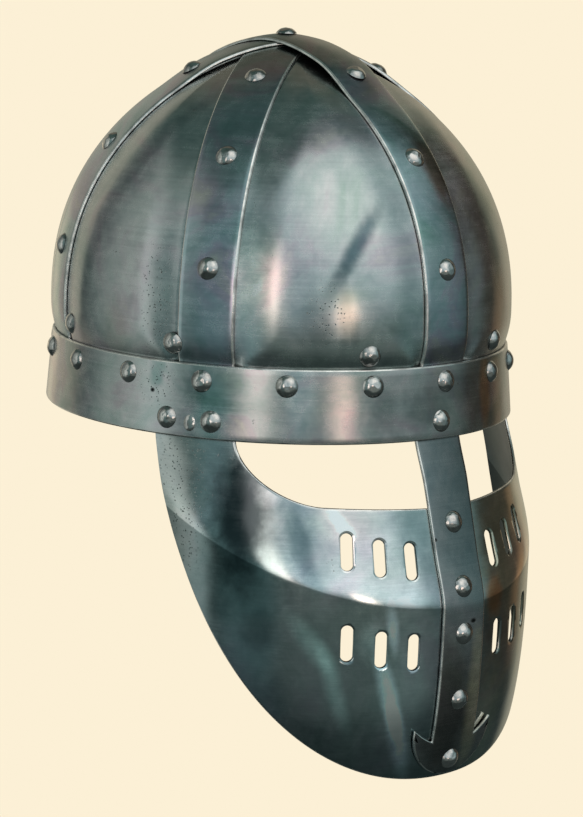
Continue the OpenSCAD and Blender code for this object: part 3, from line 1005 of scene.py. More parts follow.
@dataclass(frozen=True)
class SteelFinish:
    """Dark blued sheet steel: cloudy tints, fine brushing, pits, smears, painted shade in the corners, darker
    inward faces.
    """

    name: str
    tints: Stops
    roughness: float = 0.25
    brush: Colour = (14, 14, 900)
    brush_depth: float = 0.06 * MM
    cloud_scale: float = 17
    mottle_scale: float = 95
    dent_scale: float = 24
    dent_depth: float = 2.2 * MM
    dents: float = 0.35
    # Strength of the painted shade in the corners that ambient occlusion finds
    corner_shade: float = 0.8
    corner_reach: float = 2.2 * MM
    speck_scale: float = 880
    grain_scale: float = 1100
    speckle: float = 0.35
    pit_depth: float = 0.12 * MM
    # Colour of the painted corner shade, and of the smears, pits and specks
    shade_and_dirt: Colour = (0.022, 0.024, 0.024)
    # Tint of the inward faces: partly their duller finish, partly painted shade
    inside: Colour = (0.26, 0.26, 0.25)
    # Painted shade: darkens the lower panel below the ridge
    shade_under_ridge: Colour = (0.55, 0.60, 0.60)
    # Brightening above the ridge: wear along it, and a painted highlight that fades upwards
    worn_ridge_and_highlight: Colour = (1.35, 1.33, 1.33)
    smears: tuple[Mark, ...] = ()
    # Marks that tint the colour: real stain marks, and painted highlights and shades
    stains_and_painted_light: tuple[Mark, ...] = ()
    pits: tuple[Mark, ...] = ()
    crease: Crease | None = None

    def make(self) -> Material:
        """Builds the material.

        Returns:
            The material.
        """
        material, g = Graph.of_material(self.name)
        texture = g.add("ShaderNodeTexCoord")
        coords = texture.outputs["Object"]
        mottle = g.noise(coords, self.mottle_scale, 6, 0.68, 0.4)
        lines = g.noise(g.stretch(coords, self.brush), 1.0, 4, 0.7)
        # Inward faces: rougher, and darker by a tint that is partly painted shade
        inside = g.span(g.dot(texture.outputs["Normal"], coords), -0.02, -0.05)
        # Share of painted corner shade, smears, pits and specks
        shade_and_dirt = self.shade_and_dirt_share(g, coords)
        colour = g.blend(inside, self.tinted(g, coords, mottle, lines), self.inside, "MULTIPLY")
        rough = g.math("MULTIPLY_ADD", mottle, 0.22, self.roughness - 0.11)
        rough = g.math("ADD", rough, g.math("MULTIPLY_ADD", lines, 0.12, -0.06))
        rough = g.math("MULTIPLY_ADD", inside, 0.25, rough)
        wave = g.bump(g.noise(coords, self.dent_scale, 2, 0.45), self.dents, self.dent_depth)
        fine = g.bump(lines, 0.1, self.brush_depth, wave)
        g.coat(g.blend(shade_and_dirt, colour, self.shade_and_dirt), g.math("MULTIPLY_ADD", shade_and_dirt, 0.25, rough),
               g.bump(shade_and_dirt, 0.5, -self.pit_depth, fine))
        return material

    def tinted(self, g: Graph, coords: Socket, mottle: Socket, lines: Socket) -> Socket:
        """Builds the colour of the clean steel with its marks, painted highlights and shades among them, and
        the painted light at the ridge.

        Args:
            g: Graph of the material.
            coords: Object coordinates.
            mottle: Fine clouding.
            lines: Brush lines.

        Returns:
            The colour.
        """
        colour = g.ramp(g.noise(coords, self.cloud_scale, 5, 0.6, 0.8), self.tints)
        shade = g.ramp(mottle, ((0.3, (0.78, 0.80, 0.80)), (0.7, (1.10, 1.08, 1.06))))
        colour = g.blend(1.0, colour, shade, "MULTIPLY")
        shade = g.ramp(lines, ((0.3, (0.82, 0.82, 0.82)), (0.7, (1.1, 1.1, 1.1))))
        colour = g.blend(0.5, colour, shade, "MULTIPLY")
        if self.crease:
            above = self.crease.above(g, coords)
            # Painted shade below the ridge
            colour = g.blend(g.span(above, 0.2, -0.8), colour, self.shade_under_ridge, "MULTIPLY")
            # Wear and a painted highlight along the ridge, fading over 16 mm above it
            worn = g.math("MULTIPLY", g.span(above, 16, 0), g.span(above, -0.6, 0.2))
            colour = g.blend(worn, colour, self.worn_ridge_and_highlight, "MULTIPLY")
        for stain in self.stains_and_painted_light:
            colour = g.blend(stain.mask(g, coords), colour, stain.tint, "MULTIPLY")
        return colour

    def shade_and_dirt_share(self, g: Graph, coords: Socket) -> Socket:
        """Builds the share of painted shade in the corners and of smears, pits and single specks.

        Args:
            g: Graph of the material.
            coords: Object coordinates.

        Returns:
            The share, from 0 to 1.
        """
        # Painted shade: darker where ambient occlusion finds a corner
        shade_and_dirt = g.math("MULTIPLY", g.corners(self.corner_reach, 0.82, 0.40, 12), self.corner_shade)
        cells = g.cells(coords, self.speck_scale)
        grain = g.math("MULTIPLY_ADD", g.noise(coords, self.grain_scale, 3), 0.6, -0.3)
        hole = g.span(g.math("ADD", cells.outputs["Distance"], grain), 0.34, 0.18)
        lucky = g.span(g.noise(coords, 210, 2, 0.5), 0.60, 0.66)
        chosen = g.math("MULTIPLY", lucky, g.span(g.noise(coords, 34, 2), 0.58, 0.68, self.speckle))
        some = g.span(g.dot(cells.outputs["Color"], Vector((1, 0, 0))), 0.50, 0.70)
        for bed in self.pits:
            chosen = g.math("MAXIMUM", chosen, g.math("MULTIPLY", some, bed.mask(g, coords)))
        shade_and_dirt = g.math("MAXIMUM", shade_and_dirt, g.math("MULTIPLY", hole, chosen))
        for smear in self.smears:
            shade_and_dirt = g.math("MAXIMUM", shade_and_dirt, smear.mask(g, coords))
        return shade_and_dirt


@dataclass(frozen=True)
class WornFinish:
    """Bright worn steel of cut edges and rivet heads, which can take painted shade in its corners."""

    name: str
    colour: Colour
    roughness: float
    # Strength of the painted shade in the corners
    corner_shade: float = 0.0
    hammering: float = 0.0
    corner_reach: float = 2.2 * MM
    # Colour of the painted corner shade
    shade_and_dirt: Colour = (0.02, 0.02, 0.02)
    patch_scale: float = 120
    scratch: Colour = (500, 500, 1100)
    scratch_depth: float = 0.05 * MM
    blow_scale: float = 420
    blow_depth: float = 0.5 * MM

    def make(self) -> Material:
        """Builds the material.

        Returns:
            The material.
        """
        material, g = Graph.of_material(self.name)
        coords = g.add("ShaderNodeTexCoord").outputs["Object"]
        patches = g.noise(coords, self.patch_scale, 4, 0.6)
        dull = tuple(0.55 * c for c in self.colour)
        colour = g.ramp(patches, ((0.34, dull), (0.56, self.colour)))
        scratches = g.noise(g.stretch(coords, self.scratch), 1.0, 3, 0.6)
        shade = g.ramp(scratches, ((0.35, (0.7, 0.7, 0.7)), (0.65, (1.1, 1.1, 1.1))))
        colour = g.blend(0.2, colour, shade, "MULTIPLY")
        # Painted shade: darker where ambient occlusion finds a corner, as round the rivets' rims
        if self.corner_shade:
            shade_and_dirt = g.math("MULTIPLY", g.corners(self.corner_reach, 0.92, 0.45, 6), self.corner_shade)
            colour = g.blend(shade_and_dirt, colour, self.shade_and_dirt)
        relief = g.bump(scratches, 0.03, self.scratch_depth)
        if self.hammering:
            blows = g.noise(coords, self.blow_scale, 2, 0.5)
            relief = g.bump(blows, self.hammering, self.blow_depth, relief)
        g.coat(colour, g.math("MULTIPLY_ADD", patches, -0.2, self.roughness + 0.1), relief)
        return material


@dataclass(frozen=True)
class LeatherFinish:
    """Vegetable-tanned leather with grain, creases and darker worn patches."""

    name: str
    light: Colour = (0.30, 0.15, 0.07)
    dark: Colour = (0.10, 0.045, 0.02)
    crack: Colour = (0.05, 0.02, 0.01)
    patch_scale: float = 26
    grain_scale: float = 900
    grain_depth: float = 0.15 * MM
    fold_scale: float = 60
    fold_depth: float = 1.2 * MM

    def make(self) -> Material:
        """Builds the material.

        Returns:
            The material.
        """
        material, g = Graph.of_material(self.name)
        coords = g.add("ShaderNodeTexCoord").outputs["Object"]
        stain = g.noise(coords, self.patch_scale, 5, 0.6, 0.5)
        cells = g.cells(coords, self.grain_scale, "DISTANCE_TO_EDGE")
        crease = g.span(cells.outputs["Distance"], 0.0, 0.09)
        colour = g.ramp(stain, ((0.32, self.dark), (0.62, self.light)))
        colour = g.blend(g.math("MULTIPLY_ADD", crease, -0.4, 0.4), colour, self.crack)
        folds = g.bump(g.noise(coords, self.fold_scale, 3, 0.5), 0.3, self.fold_depth)
        g.coat(colour, g.math("MULTIPLY_ADD", stain, -0.25, 0.75),
               g.bump(crease, 0.35, self.grain_depth, folds), metallic=0.0)
        return material


@dataclass
class DomePlates:
    """Six dome plates, of which every second one lies in the inner layer."""

    form: HelmetForm
    steel: Material
    edge: Material
    names: tuple[str, ...] = ("front_right", "right", "back_right", "back_left", "left", "front_left")
    margin: float = 24
    sector_steps: int = 120
    edge_round: float = 0.35 * MM

    def build(self) -> None:
        """Builds the six plates."""
        for i, name in enumerate(self.names):
            self.plate(i, name)

    def plate(self, i: int, name: str) -> None:
        """Spins one plate, swells it between its two straps and cuts it parallel to them.

        Args:
            i: The plate's place, from the front towards the wearer's right.
            name: Its name without the word for a dome plate.
        """
        form = self.form
        depth = form.outer_plate_depth if i % 2 == 0 else form.inner_plate_depth
        low, high = form.strap_bearings[i], form.strap_bearings[i + 1]
        start = form.oval_angle(low) - self.margin
        angle = form.oval_angle(high) + self.margin - start
        a = math.radians(start)
        line = [Vector((-r * math.sin(a), -r * math.cos(a), z))
                for r, z in form.dome_line(depth, tip_r=form.plate_tip_r)]
        obj = Bench.trace(f"plate_{name}", line)
        Bench.spin(obj, angle, self.sector_steps, form.oval)
        moves = [vertex.normal * form.swell(vertex.co, depth) for vertex in obj.data.vertices]
        for vertex, move in zip(obj.data.vertices, moves):
            vertex.co += move
        for bearing, side in ((low, -1), (high, 1)):
            across = side * sideways(bearing)
            Bench.cut(obj, across * form.plate_lap, across)
        Bench.thicken(obj, form.plate_t)
        Bench.round_edges(obj, self.edge_round)
        Bench.finish(obj, (self.steel, self.edge), Slot.PLATE, (f"dome_plate_{name}",))


@dataclass
class Straps:
    """Three straps that cross at the crown, each one sheet higher than the one that it crosses."""

    form: HelmetForm
    steel: Material
    edge: Material
    names: tuple[str, ...] = ("front_to_back", "lower_diagonal", "upper_diagonal")
    cells_across: int = 10
    edge_round: float = 1.0 * MM
    crown_steps: int = 84
    search_rounds: int = 34
    search_reach: float = 1.4

    def build(self) -> None:
        """Builds the three straps."""
        for i, name in enumerate(self.names):
            self.strap(i, name)

    def strap(self, i: int, name: str) -> None:
        """Lays one strap over the dome from end to end.

        Args:
            i: The strap's place, from the front towards the wearer's right.
            name: Its name without the word strap.
        """
        form = self.form
        line = form.dome_line(0.0, form.strap_rise(i), crown_steps=self.crown_steps)
        bearing = form.strap_bearings[i]
        last = 2 * (len(line) - 1)
        upper = [(math.atan2(z - form.bulge_z, r), math.hypot(r, z - form.bulge_z))
                 for r, z in line if z >= form.bulge_z]
        angles = [angle for angle, _ in upper]
        reaches = [reach for _, reach in upper]

        def reach_at(angle: float) -> float:
            """Finds the outline's distance from the middle of the widest level.

            Args:
                angle: Angle above that level.

            Returns:
                The distance.
            """
            k = max(1, min(len(angles) - 1, bisect.bisect_left(angles, angle)))
            share = (angle - angles[k - 1]) / (angles[k] - angles[k - 1])
            return mix(reaches[k - 1], reaches[k], share)

        along, across = heading(bearing), sideways(bearing)
        t = math.radians(form.oval_angle(bearing))
        narrowing = math.hypot(form.oval * math.sin(t), math.cos(t))

        def outside(point: Vector, level: float, radius: float) -> bool:
            """Says whether a point lies outside the strap's outer face.

            Args:
                point: The point.
                level: Height of its row on the strap.
                radius: Radius of the outline there.

            Returns:
                True outside.
            """
            r = math.hypot(point.x / form.oval, point.y)
            if level < form.bulge_z:
                return r > radius
            above = point.z - form.bulge_z
            return math.hypot(r, above) > reach_at(math.atan2(above, r))

        def place(u: float, v: float) -> Vector:
            """Finds a point of the strap's outer face, by halving along a ray.

            Args:
                u: Share of the way across it.
                v: Share of its way over the dome.

            Returns:
                The point.
            """
            k = round(v * last)
            side = 1 if k <= last // 2 else -1
            radius, level = line[k if side > 0 else last - k]
            foot = across * (u - 0.5) * form.strap_w + Vector((0, 0, min(level, form.bulge_z)))
            ray = along * side * radius * narrowing + Vector((0, 0, max(0.0, level - form.bulge_z)))
            near, far = 0.0, self.search_reach
            for _ in range(self.search_rounds):
                middle = (near + far) / 2
                if outside(foot + ray * middle, level, radius):
                    far = middle
                else:
                    near = middle
            return foot + ray * near

        obj = Bench.grid(f"strap_{name}_steel", self.cells_across, last, place)
        Bench.thicken(obj, form.strap_t, rim=Skin.RIM)
        Bench.round_rims(obj, self.edge_round)
        Bench.finish(obj, (self.steel, self.edge), Slot.STRAP, (f"strap_{name}",))


@dataclass
class BrowBand:
    """The oval band that the whole helmet is built on."""

    form: HelmetForm
    steel: Material
    edge: Material
    steps: int = 240
    levels: int = 10
    edge_round: float = 0.8 * MM

    def build(self) -> None:
        """Spins the band's outer face, gives it its wall and rounds its edges."""
        form = self.form
        heights = [form.brow_h * i / self.levels for i in range(self.levels + 1)]
        obj = Bench.trace("brow_band_steel", [Vector((0, -form.brow_outer(z), z)) for z in heights])
        Bench.spin(obj, 360, self.steps, form.oval)
        Bench.thicken(obj, form.brow_t, rim=Skin.RIM)
        Bench.round_rims(obj, self.edge_round)
        Bench.finish(obj, (self.steel, self.edge), Slot.BAND, ("brow_band",))


@dataclass
class FaceForm:
    """Curves of the face plate: its ridge, its eye edges and its rear edges. Angles are on the oval."""

    form: HelmetForm
    face_t: float = 1.5 * MM
    face_gap: float = 0.25 * MM
    face_top: float = 17 * MM
    face_drop: float = 154.6 * MM
    ridge_drop: float = 72.8 * MM
    ridge_out: float = 19.6 * MM
    ridge_climb: float = 67 * MM
    ridge_fade: float = 1.22
    ridge_soft: tuple[float, float] = (1.3 * MM, 6 * MM)
    ridge_ease: float = 22 * MM
    ease_slope: float = 0.15
    soft_angles: tuple[float, float] = (34, 60)
    chin_lean: float = 0.58 * MM
    chin_curl: float = 8.5 * MM
    eye_drop: float = 30 * MM
    eye_rise: float = 3 * MM
    eye_corner: float = 30.8
    arm_front: float = 51.4
    arm_rear: float = 71.6
    corner_fullness: float = 1.65
    edge_fullness: tuple[float, float] = (2.42, 1.29)
    eye_part: float = 0.34
    turn_part: float = 0.86
    ridge_shares: tuple[float, float, float] = (0.1, 0.4, 0.8)
    search_rounds: int = 8
    least_drop: float = 0.1 * MM

    @property
    def radius(self) -> float:
        """Outer radius of the plate where it hangs from the band."""
        return self.form.half_l - self.form.brow_t - self.face_gap

    def ridge_z(self, t: float) -> float:
        """Returns the ridge's height at an angle."""
        return -self.ridge_drop + self.ridge_climb * (1 - math.cos(math.radians(t)))

    def sharp_out(self, t: float, z: float) -> float:
        """Finds how far the plate stands out, with a sharp ridge.

        Args:
            t: Angle on the oval.
            z: Height.

        Returns:
            The distance beyond the hanging oval.
        """
        if z >= 0:
            return -self.form.brow_lean * z / self.form.brow_h
        ridge = self.ridge_z(t)
        reach = self.ridge_out * math.cos(math.radians(self.ridge_fade * t))
        if z >= ridge:
            climbed = (z - ridge) / self.ridge_ease
            ease = self.ease_slope * self.ridge_ease * climbed * max(0.0, 1 - climbed) ** 2
            return reach * z / ridge + ease
        w = (ridge - z) / (self.face_drop + ridge)
        return reach - self.chin_lean * w - self.chin_curl * w ** 3

    def out(self, t: float, z: float, samples: int = 4) -> float:
        """Finds how far the plate stands out, with its ridge softened towards the back.

        Args:
            t: Angle on the oval.
            z: Height.
            samples: Number of samples to each side that are averaged.

        Returns:
            The distance beyond the hanging oval.
        """
        low, high = self.soft_angles
        soft = mix(*self.ridge_soft, smooth((abs(t) - low) / (high - low)))
        if z > -2 * soft:
            return self.sharp_out(t, z)
        total = sum(self.sharp_out(t, z + soft * k / samples) * (1 - abs(k) / (samples + 1))
                    for k in range(-samples, samples + 1))
        return total / (samples + 1)

    def point(self, t: float, z: float, beyond: float = 0.0) -> Vector:
        """Returns the plate's point at an angle and a height, moved out by a distance."""
        e, a = self.out(t, z) + beyond, math.radians(t)
        wide, deep = self.radius * self.form.oval + e, self.radius + e
        return Vector((-wide * math.sin(a), -deep * math.cos(a), z))

    def normal(self, t: float, z: float) -> Vector:
        """Finds the plate's outward direction.

        Args:
            t: Angle on the oval.
            z: Height.

        Returns:
            The direction.
        """
        probe_z, probe_t = 0.5 * MM, 0.5
        up = self.point(t, z + probe_z) - self.point(t, z - probe_z)
        round_ = self.point(t + probe_t, z) - self.point(t - probe_t, z)
        return up.cross(round_).normalized()

    def eye_edge(self, s: float) -> tuple[float, float]:
        """Traces the edge round the eye.

        Args:
            s: Share of the way, from the nasal at 0 to the arm's top at 1.

        Returns:
            The angle and height there.
        """
        if s <= self.eye_part:
            return self.eye_corner * s / self.eye_part, -self.eye_drop + self.eye_rise * s / self.eye_part
        if s <= self.turn_part:
            a = math.pi / 2 * (s - self.eye_part) / (self.turn_part - self.eye_part)
            return (mix(self.eye_corner, self.arm_front, math.sin(a) ** (2 / self.corner_fullness)),
                    (self.eye_rise - self.eye_drop) * max(0.0, math.cos(a)) ** (2 / self.corner_fullness))
        return self.arm_front, self.face_top * (s - self.turn_part) / (1 - self.turn_part)

    def rear_edge(self, s: float) -> tuple[float, float]:
        """Traces the lower and rear edge.

        Args:
            s: Share of the way, from the chin at 0 to the arm's top at 1.

        Returns:
            The angle and height there.
        """
        if s <= self.turn_part:
            a = math.pi / 2 * (1 - s / self.turn_part)
            return (self.arm_rear * max(0.0, math.cos(a)) ** (2 / self.edge_fullness[0]),
                    -self.face_drop * math.sin(a) ** (2 / self.edge_fullness[1]))
        return self.arm_rear, self.face_top * (s - self.turn_part) / (1 - self.turn_part)

    def ridge_share(self, eye: tuple[float, float], rear: tuple[float, float]) -> float:
        """Finds where a line from the eye edge to the rear edge crosses the ridge.

        Args:
            eye: Angle and height of its start.
            rear: Angle and height of its end.

        Returns:
            The share of the way.
        """
        least, w, most = self.ridge_shares
        for _ in range(self.search_rounds):
            ridge = self.ridge_z(mix(eye[0], rear[0], w))
            w = max(least, min(most, (ridge - eye[1]) / min(-self.least_drop, rear[1] - eye[1])))
        return w


@dataclass
class Breaths:
    """Twelve round-ended slots through the face plate, three above and three below the ridge on each side."""

    face: FaceForm
    length: float = 17 * MM
    width: float = 6 * MM
    above: float = 20 * MM
    below: float = 20.5 * MM
    first: float = 11.8
    pitch: float = 7.2
    count: int = 3
    reach: float = 8 * MM
    draw: float = 0.25 * MM
    wall: float = 0.5 * MM
    lip: tuple[float, float] = (0.8 * MM, 0.35 * MM)
    facets: int = 28

    def cutter(self) -> Piece:
        """Builds one solid that cuts all the slots.

        Returns:
            The cutter.
        """
        parts = []
        for side in (1, -1):
            for i in range(self.count):
                t = self.first + i * self.pitch
                for z in (self.face.ridge_z(t) + self.above, self.face.ridge_z(t) - self.below):
                    parts.append(self.capsule(side * t, z))
        return Bench.join(parts, "slot_cutter")

    def capsule(self, t: float, z: float) -> Piece:
        """Adds one round-ended cutter, long down the surface, which leaves a worn lip round its slot.

        Args:
            t: Angle of its middle on the oval.
            z: Height of its middle.

        Returns:
            The cutter.
        """
        Bench.put_away()
        flare, lip = self.lip
        low = lip + self.wall
        inner = self.width / 2 - self.draw
        bpy.ops.mesh.primitive_cylinder_add(vertices=self.facets, radius=inner, depth=self.reach,
                                            location=(0, 0, -low - self.reach / 2))
        obj = bpy.context.object
        Bench.settle(obj)
        run = (self.length - self.width) / 2
        with Bench.editing(obj):
            Bench.pick_faces(obj, lambda face: face.normal.z > 0.5)
            radius = inner
            for rise, wider in ((self.wall, self.draw), (lip, flare), (self.reach, 0.0)):
                grow = (radius + wider) / radius
                radius += wider
                bpy.ops.mesh.extrude_region_move(TRANSFORM_OT_translate={"value": (0, 0, rise)})
                bpy.ops.transform.resize(value=(grow, grow, 1), center_override=(0, 0, 0))
            for side in (1, -1):
                Bench.pick_points(obj, lambda co, side=side: side * co.x > Bench.merge_gap)
                bpy.ops.transform.translate(value=(side * run, 0, 0))
        Bench.keep_slots(obj, len(Skin))
        for side in obj.data.polygons:
            side.material_index = Skin.LIP if side.center.z > -lip else Skin.WALL
        obj.matrix_world = seat_matrix(self.face.point(t, z), self.face.normal(t, z))
        Bench.settle(obj)
        return obj


def seat_matrix(point: Vector, normal: Vector) -> Matrix:
    """Finds the place of a thing that stands on a surface.

    Args:
        point: Where it stands.
        normal: The surface's outward direction, which becomes its +Z.

    Returns:
        The matrix, whose +X looks down the surface.
    """
    tilt = math.acos(max(-1.0, min(1.0, normal.z)))
    turn = math.atan2(normal.y, normal.x)
    return Matrix.Translation(point) @ Matrix.Rotation(turn, 4, "Z") @ Matrix.Rotation(tilt, 4, "Y")


@dataclass
class FacePlate:
    """The breathed plate that hangs from the band by its two cheek arms."""

    face: FaceForm
    steel: Material
    edge: Material
    wall: Material
    half_columns: int = 110
    rows_above: int = 24
    rows_below: int = 44
    edge_round: float = 0.7 * MM

    def cell(self, u: float, v: float) -> Vector:
        """Finds a point of the plate's outer face.

        Args:
            u: Share of the way from arm to arm.
            v: Share of the way down from the eye edge.

        Returns:
            The point.
        """
        face = self.face
        side = -1 if u < 0.5 else 1
        s = abs(2 * u - 1)
        eye, rear = face.eye_edge(s), face.rear_edge(s)
        w = face.ridge_share(eye, rear)
        j = round(v * (self.rows_above + self.rows_below))
        if j <= self.rows_above:
            share = w * j / self.rows_above
        else:
            share = mix(w, 1, (j - self.rows_above) / self.rows_below)
        return face.point(side * mix(eye[0], rear[0], share), mix(eye[1], rear[1], share))

    def build(self) -> None:
        """Lays the plate, cuts its slots and rounds its edges."""
        finishes = (self.steel, self.edge, self.edge, self.wall)
        rows = self.rows_above + self.rows_below
        obj = Bench.grid("face_plate_steel", 2 * self.half_columns, rows, self.cell)
        Bench.thicken(obj, self.face.face_t, rim=Skin.RIM)
        cutter = Breaths(self.face).cutter()
        Bench.keep_slots(obj, len(finishes))
        Bench.apply(obj, "BOOLEAN", operation="DIFFERENCE", object=cutter, solver="EXACT")
        bpy.data.objects.remove(cutter)
        Bench.round_rims(obj, self.edge_round)
        Bench.finish(obj, finishes, Slot.FACE, ("face_plate",), sharp=30)


@dataclass
class NasalBar:
    """The strip down the middle of the face, bent at the ridge, with an anchor foot."""

    face: FaceForm
    steel: Material
    edge: Material
    top_w: float = 27 * MM
    mid_w: float = 24.6 * MM
    low_w: float = 25.4 * MM
    thickness: float = 1.6 * MM
    foot_r: float = 23 * MM
    foot_lift: float = 24.6 * MM
    rise_drop: float = 20 * MM
    horn_rise: float = 1.5 * MM
    notch_drop: float = 6 * MM
    notch_in: float = 1 * MM
    overrun: float = 8 * MM
    margin: float = 2 * MM
    cut_reach: float = 0.2
    horn_hollow: float = 0.7 * MM
    horn_steps: int = 8
    foot_steps: int = 40
    cells_across: int = 22
    rows: int = 110
    edge_round: float = 0.5 * MM

    @property
    def foot_z(self) -> float:
        """Height of the middle of the foot's round."""
        return self.foot_lift - self.face.face_drop

    @property
    def stand(self) -> float:
        """How far the bar's outer face stands off the plate's outer face."""
        return self.face.form.lay_gap + self.thickness

    def point(self, x: float, z: float) -> Vector:
        """Finds a point of the bar's outer face.

        Args:
            x: Place across it.
            z: Height.

        Returns:
            The point.
        """
        face = self.face
        rise = mix(face.face_gap - face.form.lay_gap, self.stand, smooth(-z / self.rise_drop))
        e = face.out(0, z) + rise
        t = math.asin(x / (face.radius * face.form.oval + e))
        return Vector((x, -(face.radius + e) * math.cos(t), z))

    def build(self) -> None:
        """Lays the bar's sheet and cuts it to its outline."""
        half = self.foot_r + self.margin
        top, bottom = self.face.face_top, self.foot_z - half
        obj = Bench.grid("nasal_bar_steel", self.cells_across, self.rows,
                         lambda u, v: self.point(mix(-half, half, u), mix(top, bottom, v)))
        Bench.thicken(obj, self.thickness)
        outline = self.outline()
        for part in (outline, obj):
            Bench.keep_slots(part, Skin.RIM + 1)
        for face in outline.data.polygons:
            face.material_index = Skin.RIM
        Bench.apply(obj, "BOOLEAN", operation="INTERSECT", object=outline, solver="EXACT")
        bpy.data.objects.remove(outline)
        Bench.round_edges(obj, self.edge_round, sharp=50, material=Skin.RIM)
        Bench.finish(obj, (self.steel, self.edge), Slot.NASAL, ("nasal_bar",), sharp=30)

    def outline(self) -> Piece:
        """Builds the prism that the bar and its foot are cut with.

        Returns:
            The prism.
        """
        half = self.half_outline()
        points = [Vector((x, -self.cut_reach, z)) for x, z in half]
        points += [Vector((-x, -self.cut_reach, z)) for x, z in reversed(half[:-1])]
        obj = Bench.trace("bar_outline", [*points, points[0]])
        with Bench.editing(obj):
            bpy.ops.mesh.remove_doubles(threshold=0.001 * MM)
            bpy.ops.mesh.edge_face_add()
            bpy.ops.mesh.extrude_region_move(TRANSFORM_OT_translate={"value": (0, self.cut_reach, 0)})
            bpy.ops.mesh.select_all(action="SELECT")
            bpy.ops.mesh.normals_make_consistent(inside=False)
        return obj

    def half_outline(self) -> list[tuple[float, float]]:
        """Traces the right half of the bar and its foot, from the top down to the foot's lowest point.

        Returns:
            Points across and up.
        """
        side = self.low_w / 2
        slope = (self.horn_rise + self.notch_drop) / (self.foot_r - side + self.notch_in)
        corner = self.foot_z - self.notch_drop + slope * self.notch_in
        tip_turn = math.asin(self.horn_rise / self.foot_r)
        tip = (self.foot_r * math.cos(tip_turn), self.foot_z + self.horn_rise)
        points = [(self.top_w / 2, self.face.face_top + self.overrun),
                  (self.mid_w / 2, -self.face.ridge_drop), (side, self.foot_z)]
        for i in range(self.horn_steps):
            share = i / self.horn_steps
            sag = 4 * self.horn_hollow * share * (1 - share)
            points.append((mix(side, tip[0], share), mix(corner, tip[1], share) - sag))
        for i in range(self.foot_steps + 1):
            turn = mix(tip_turn, -math.pi / 2, i / self.foot_steps)
            points.append((self.foot_r * math.cos(turn), self.foot_z + self.foot_r * math.sin(turn)))
        return points


@dataclass(frozen=True)
class Seat:
    """Where a rivet stands: the point under its head, the outward direction, and its grip."""

    point: Vector
    normal: Vector
    grip: float


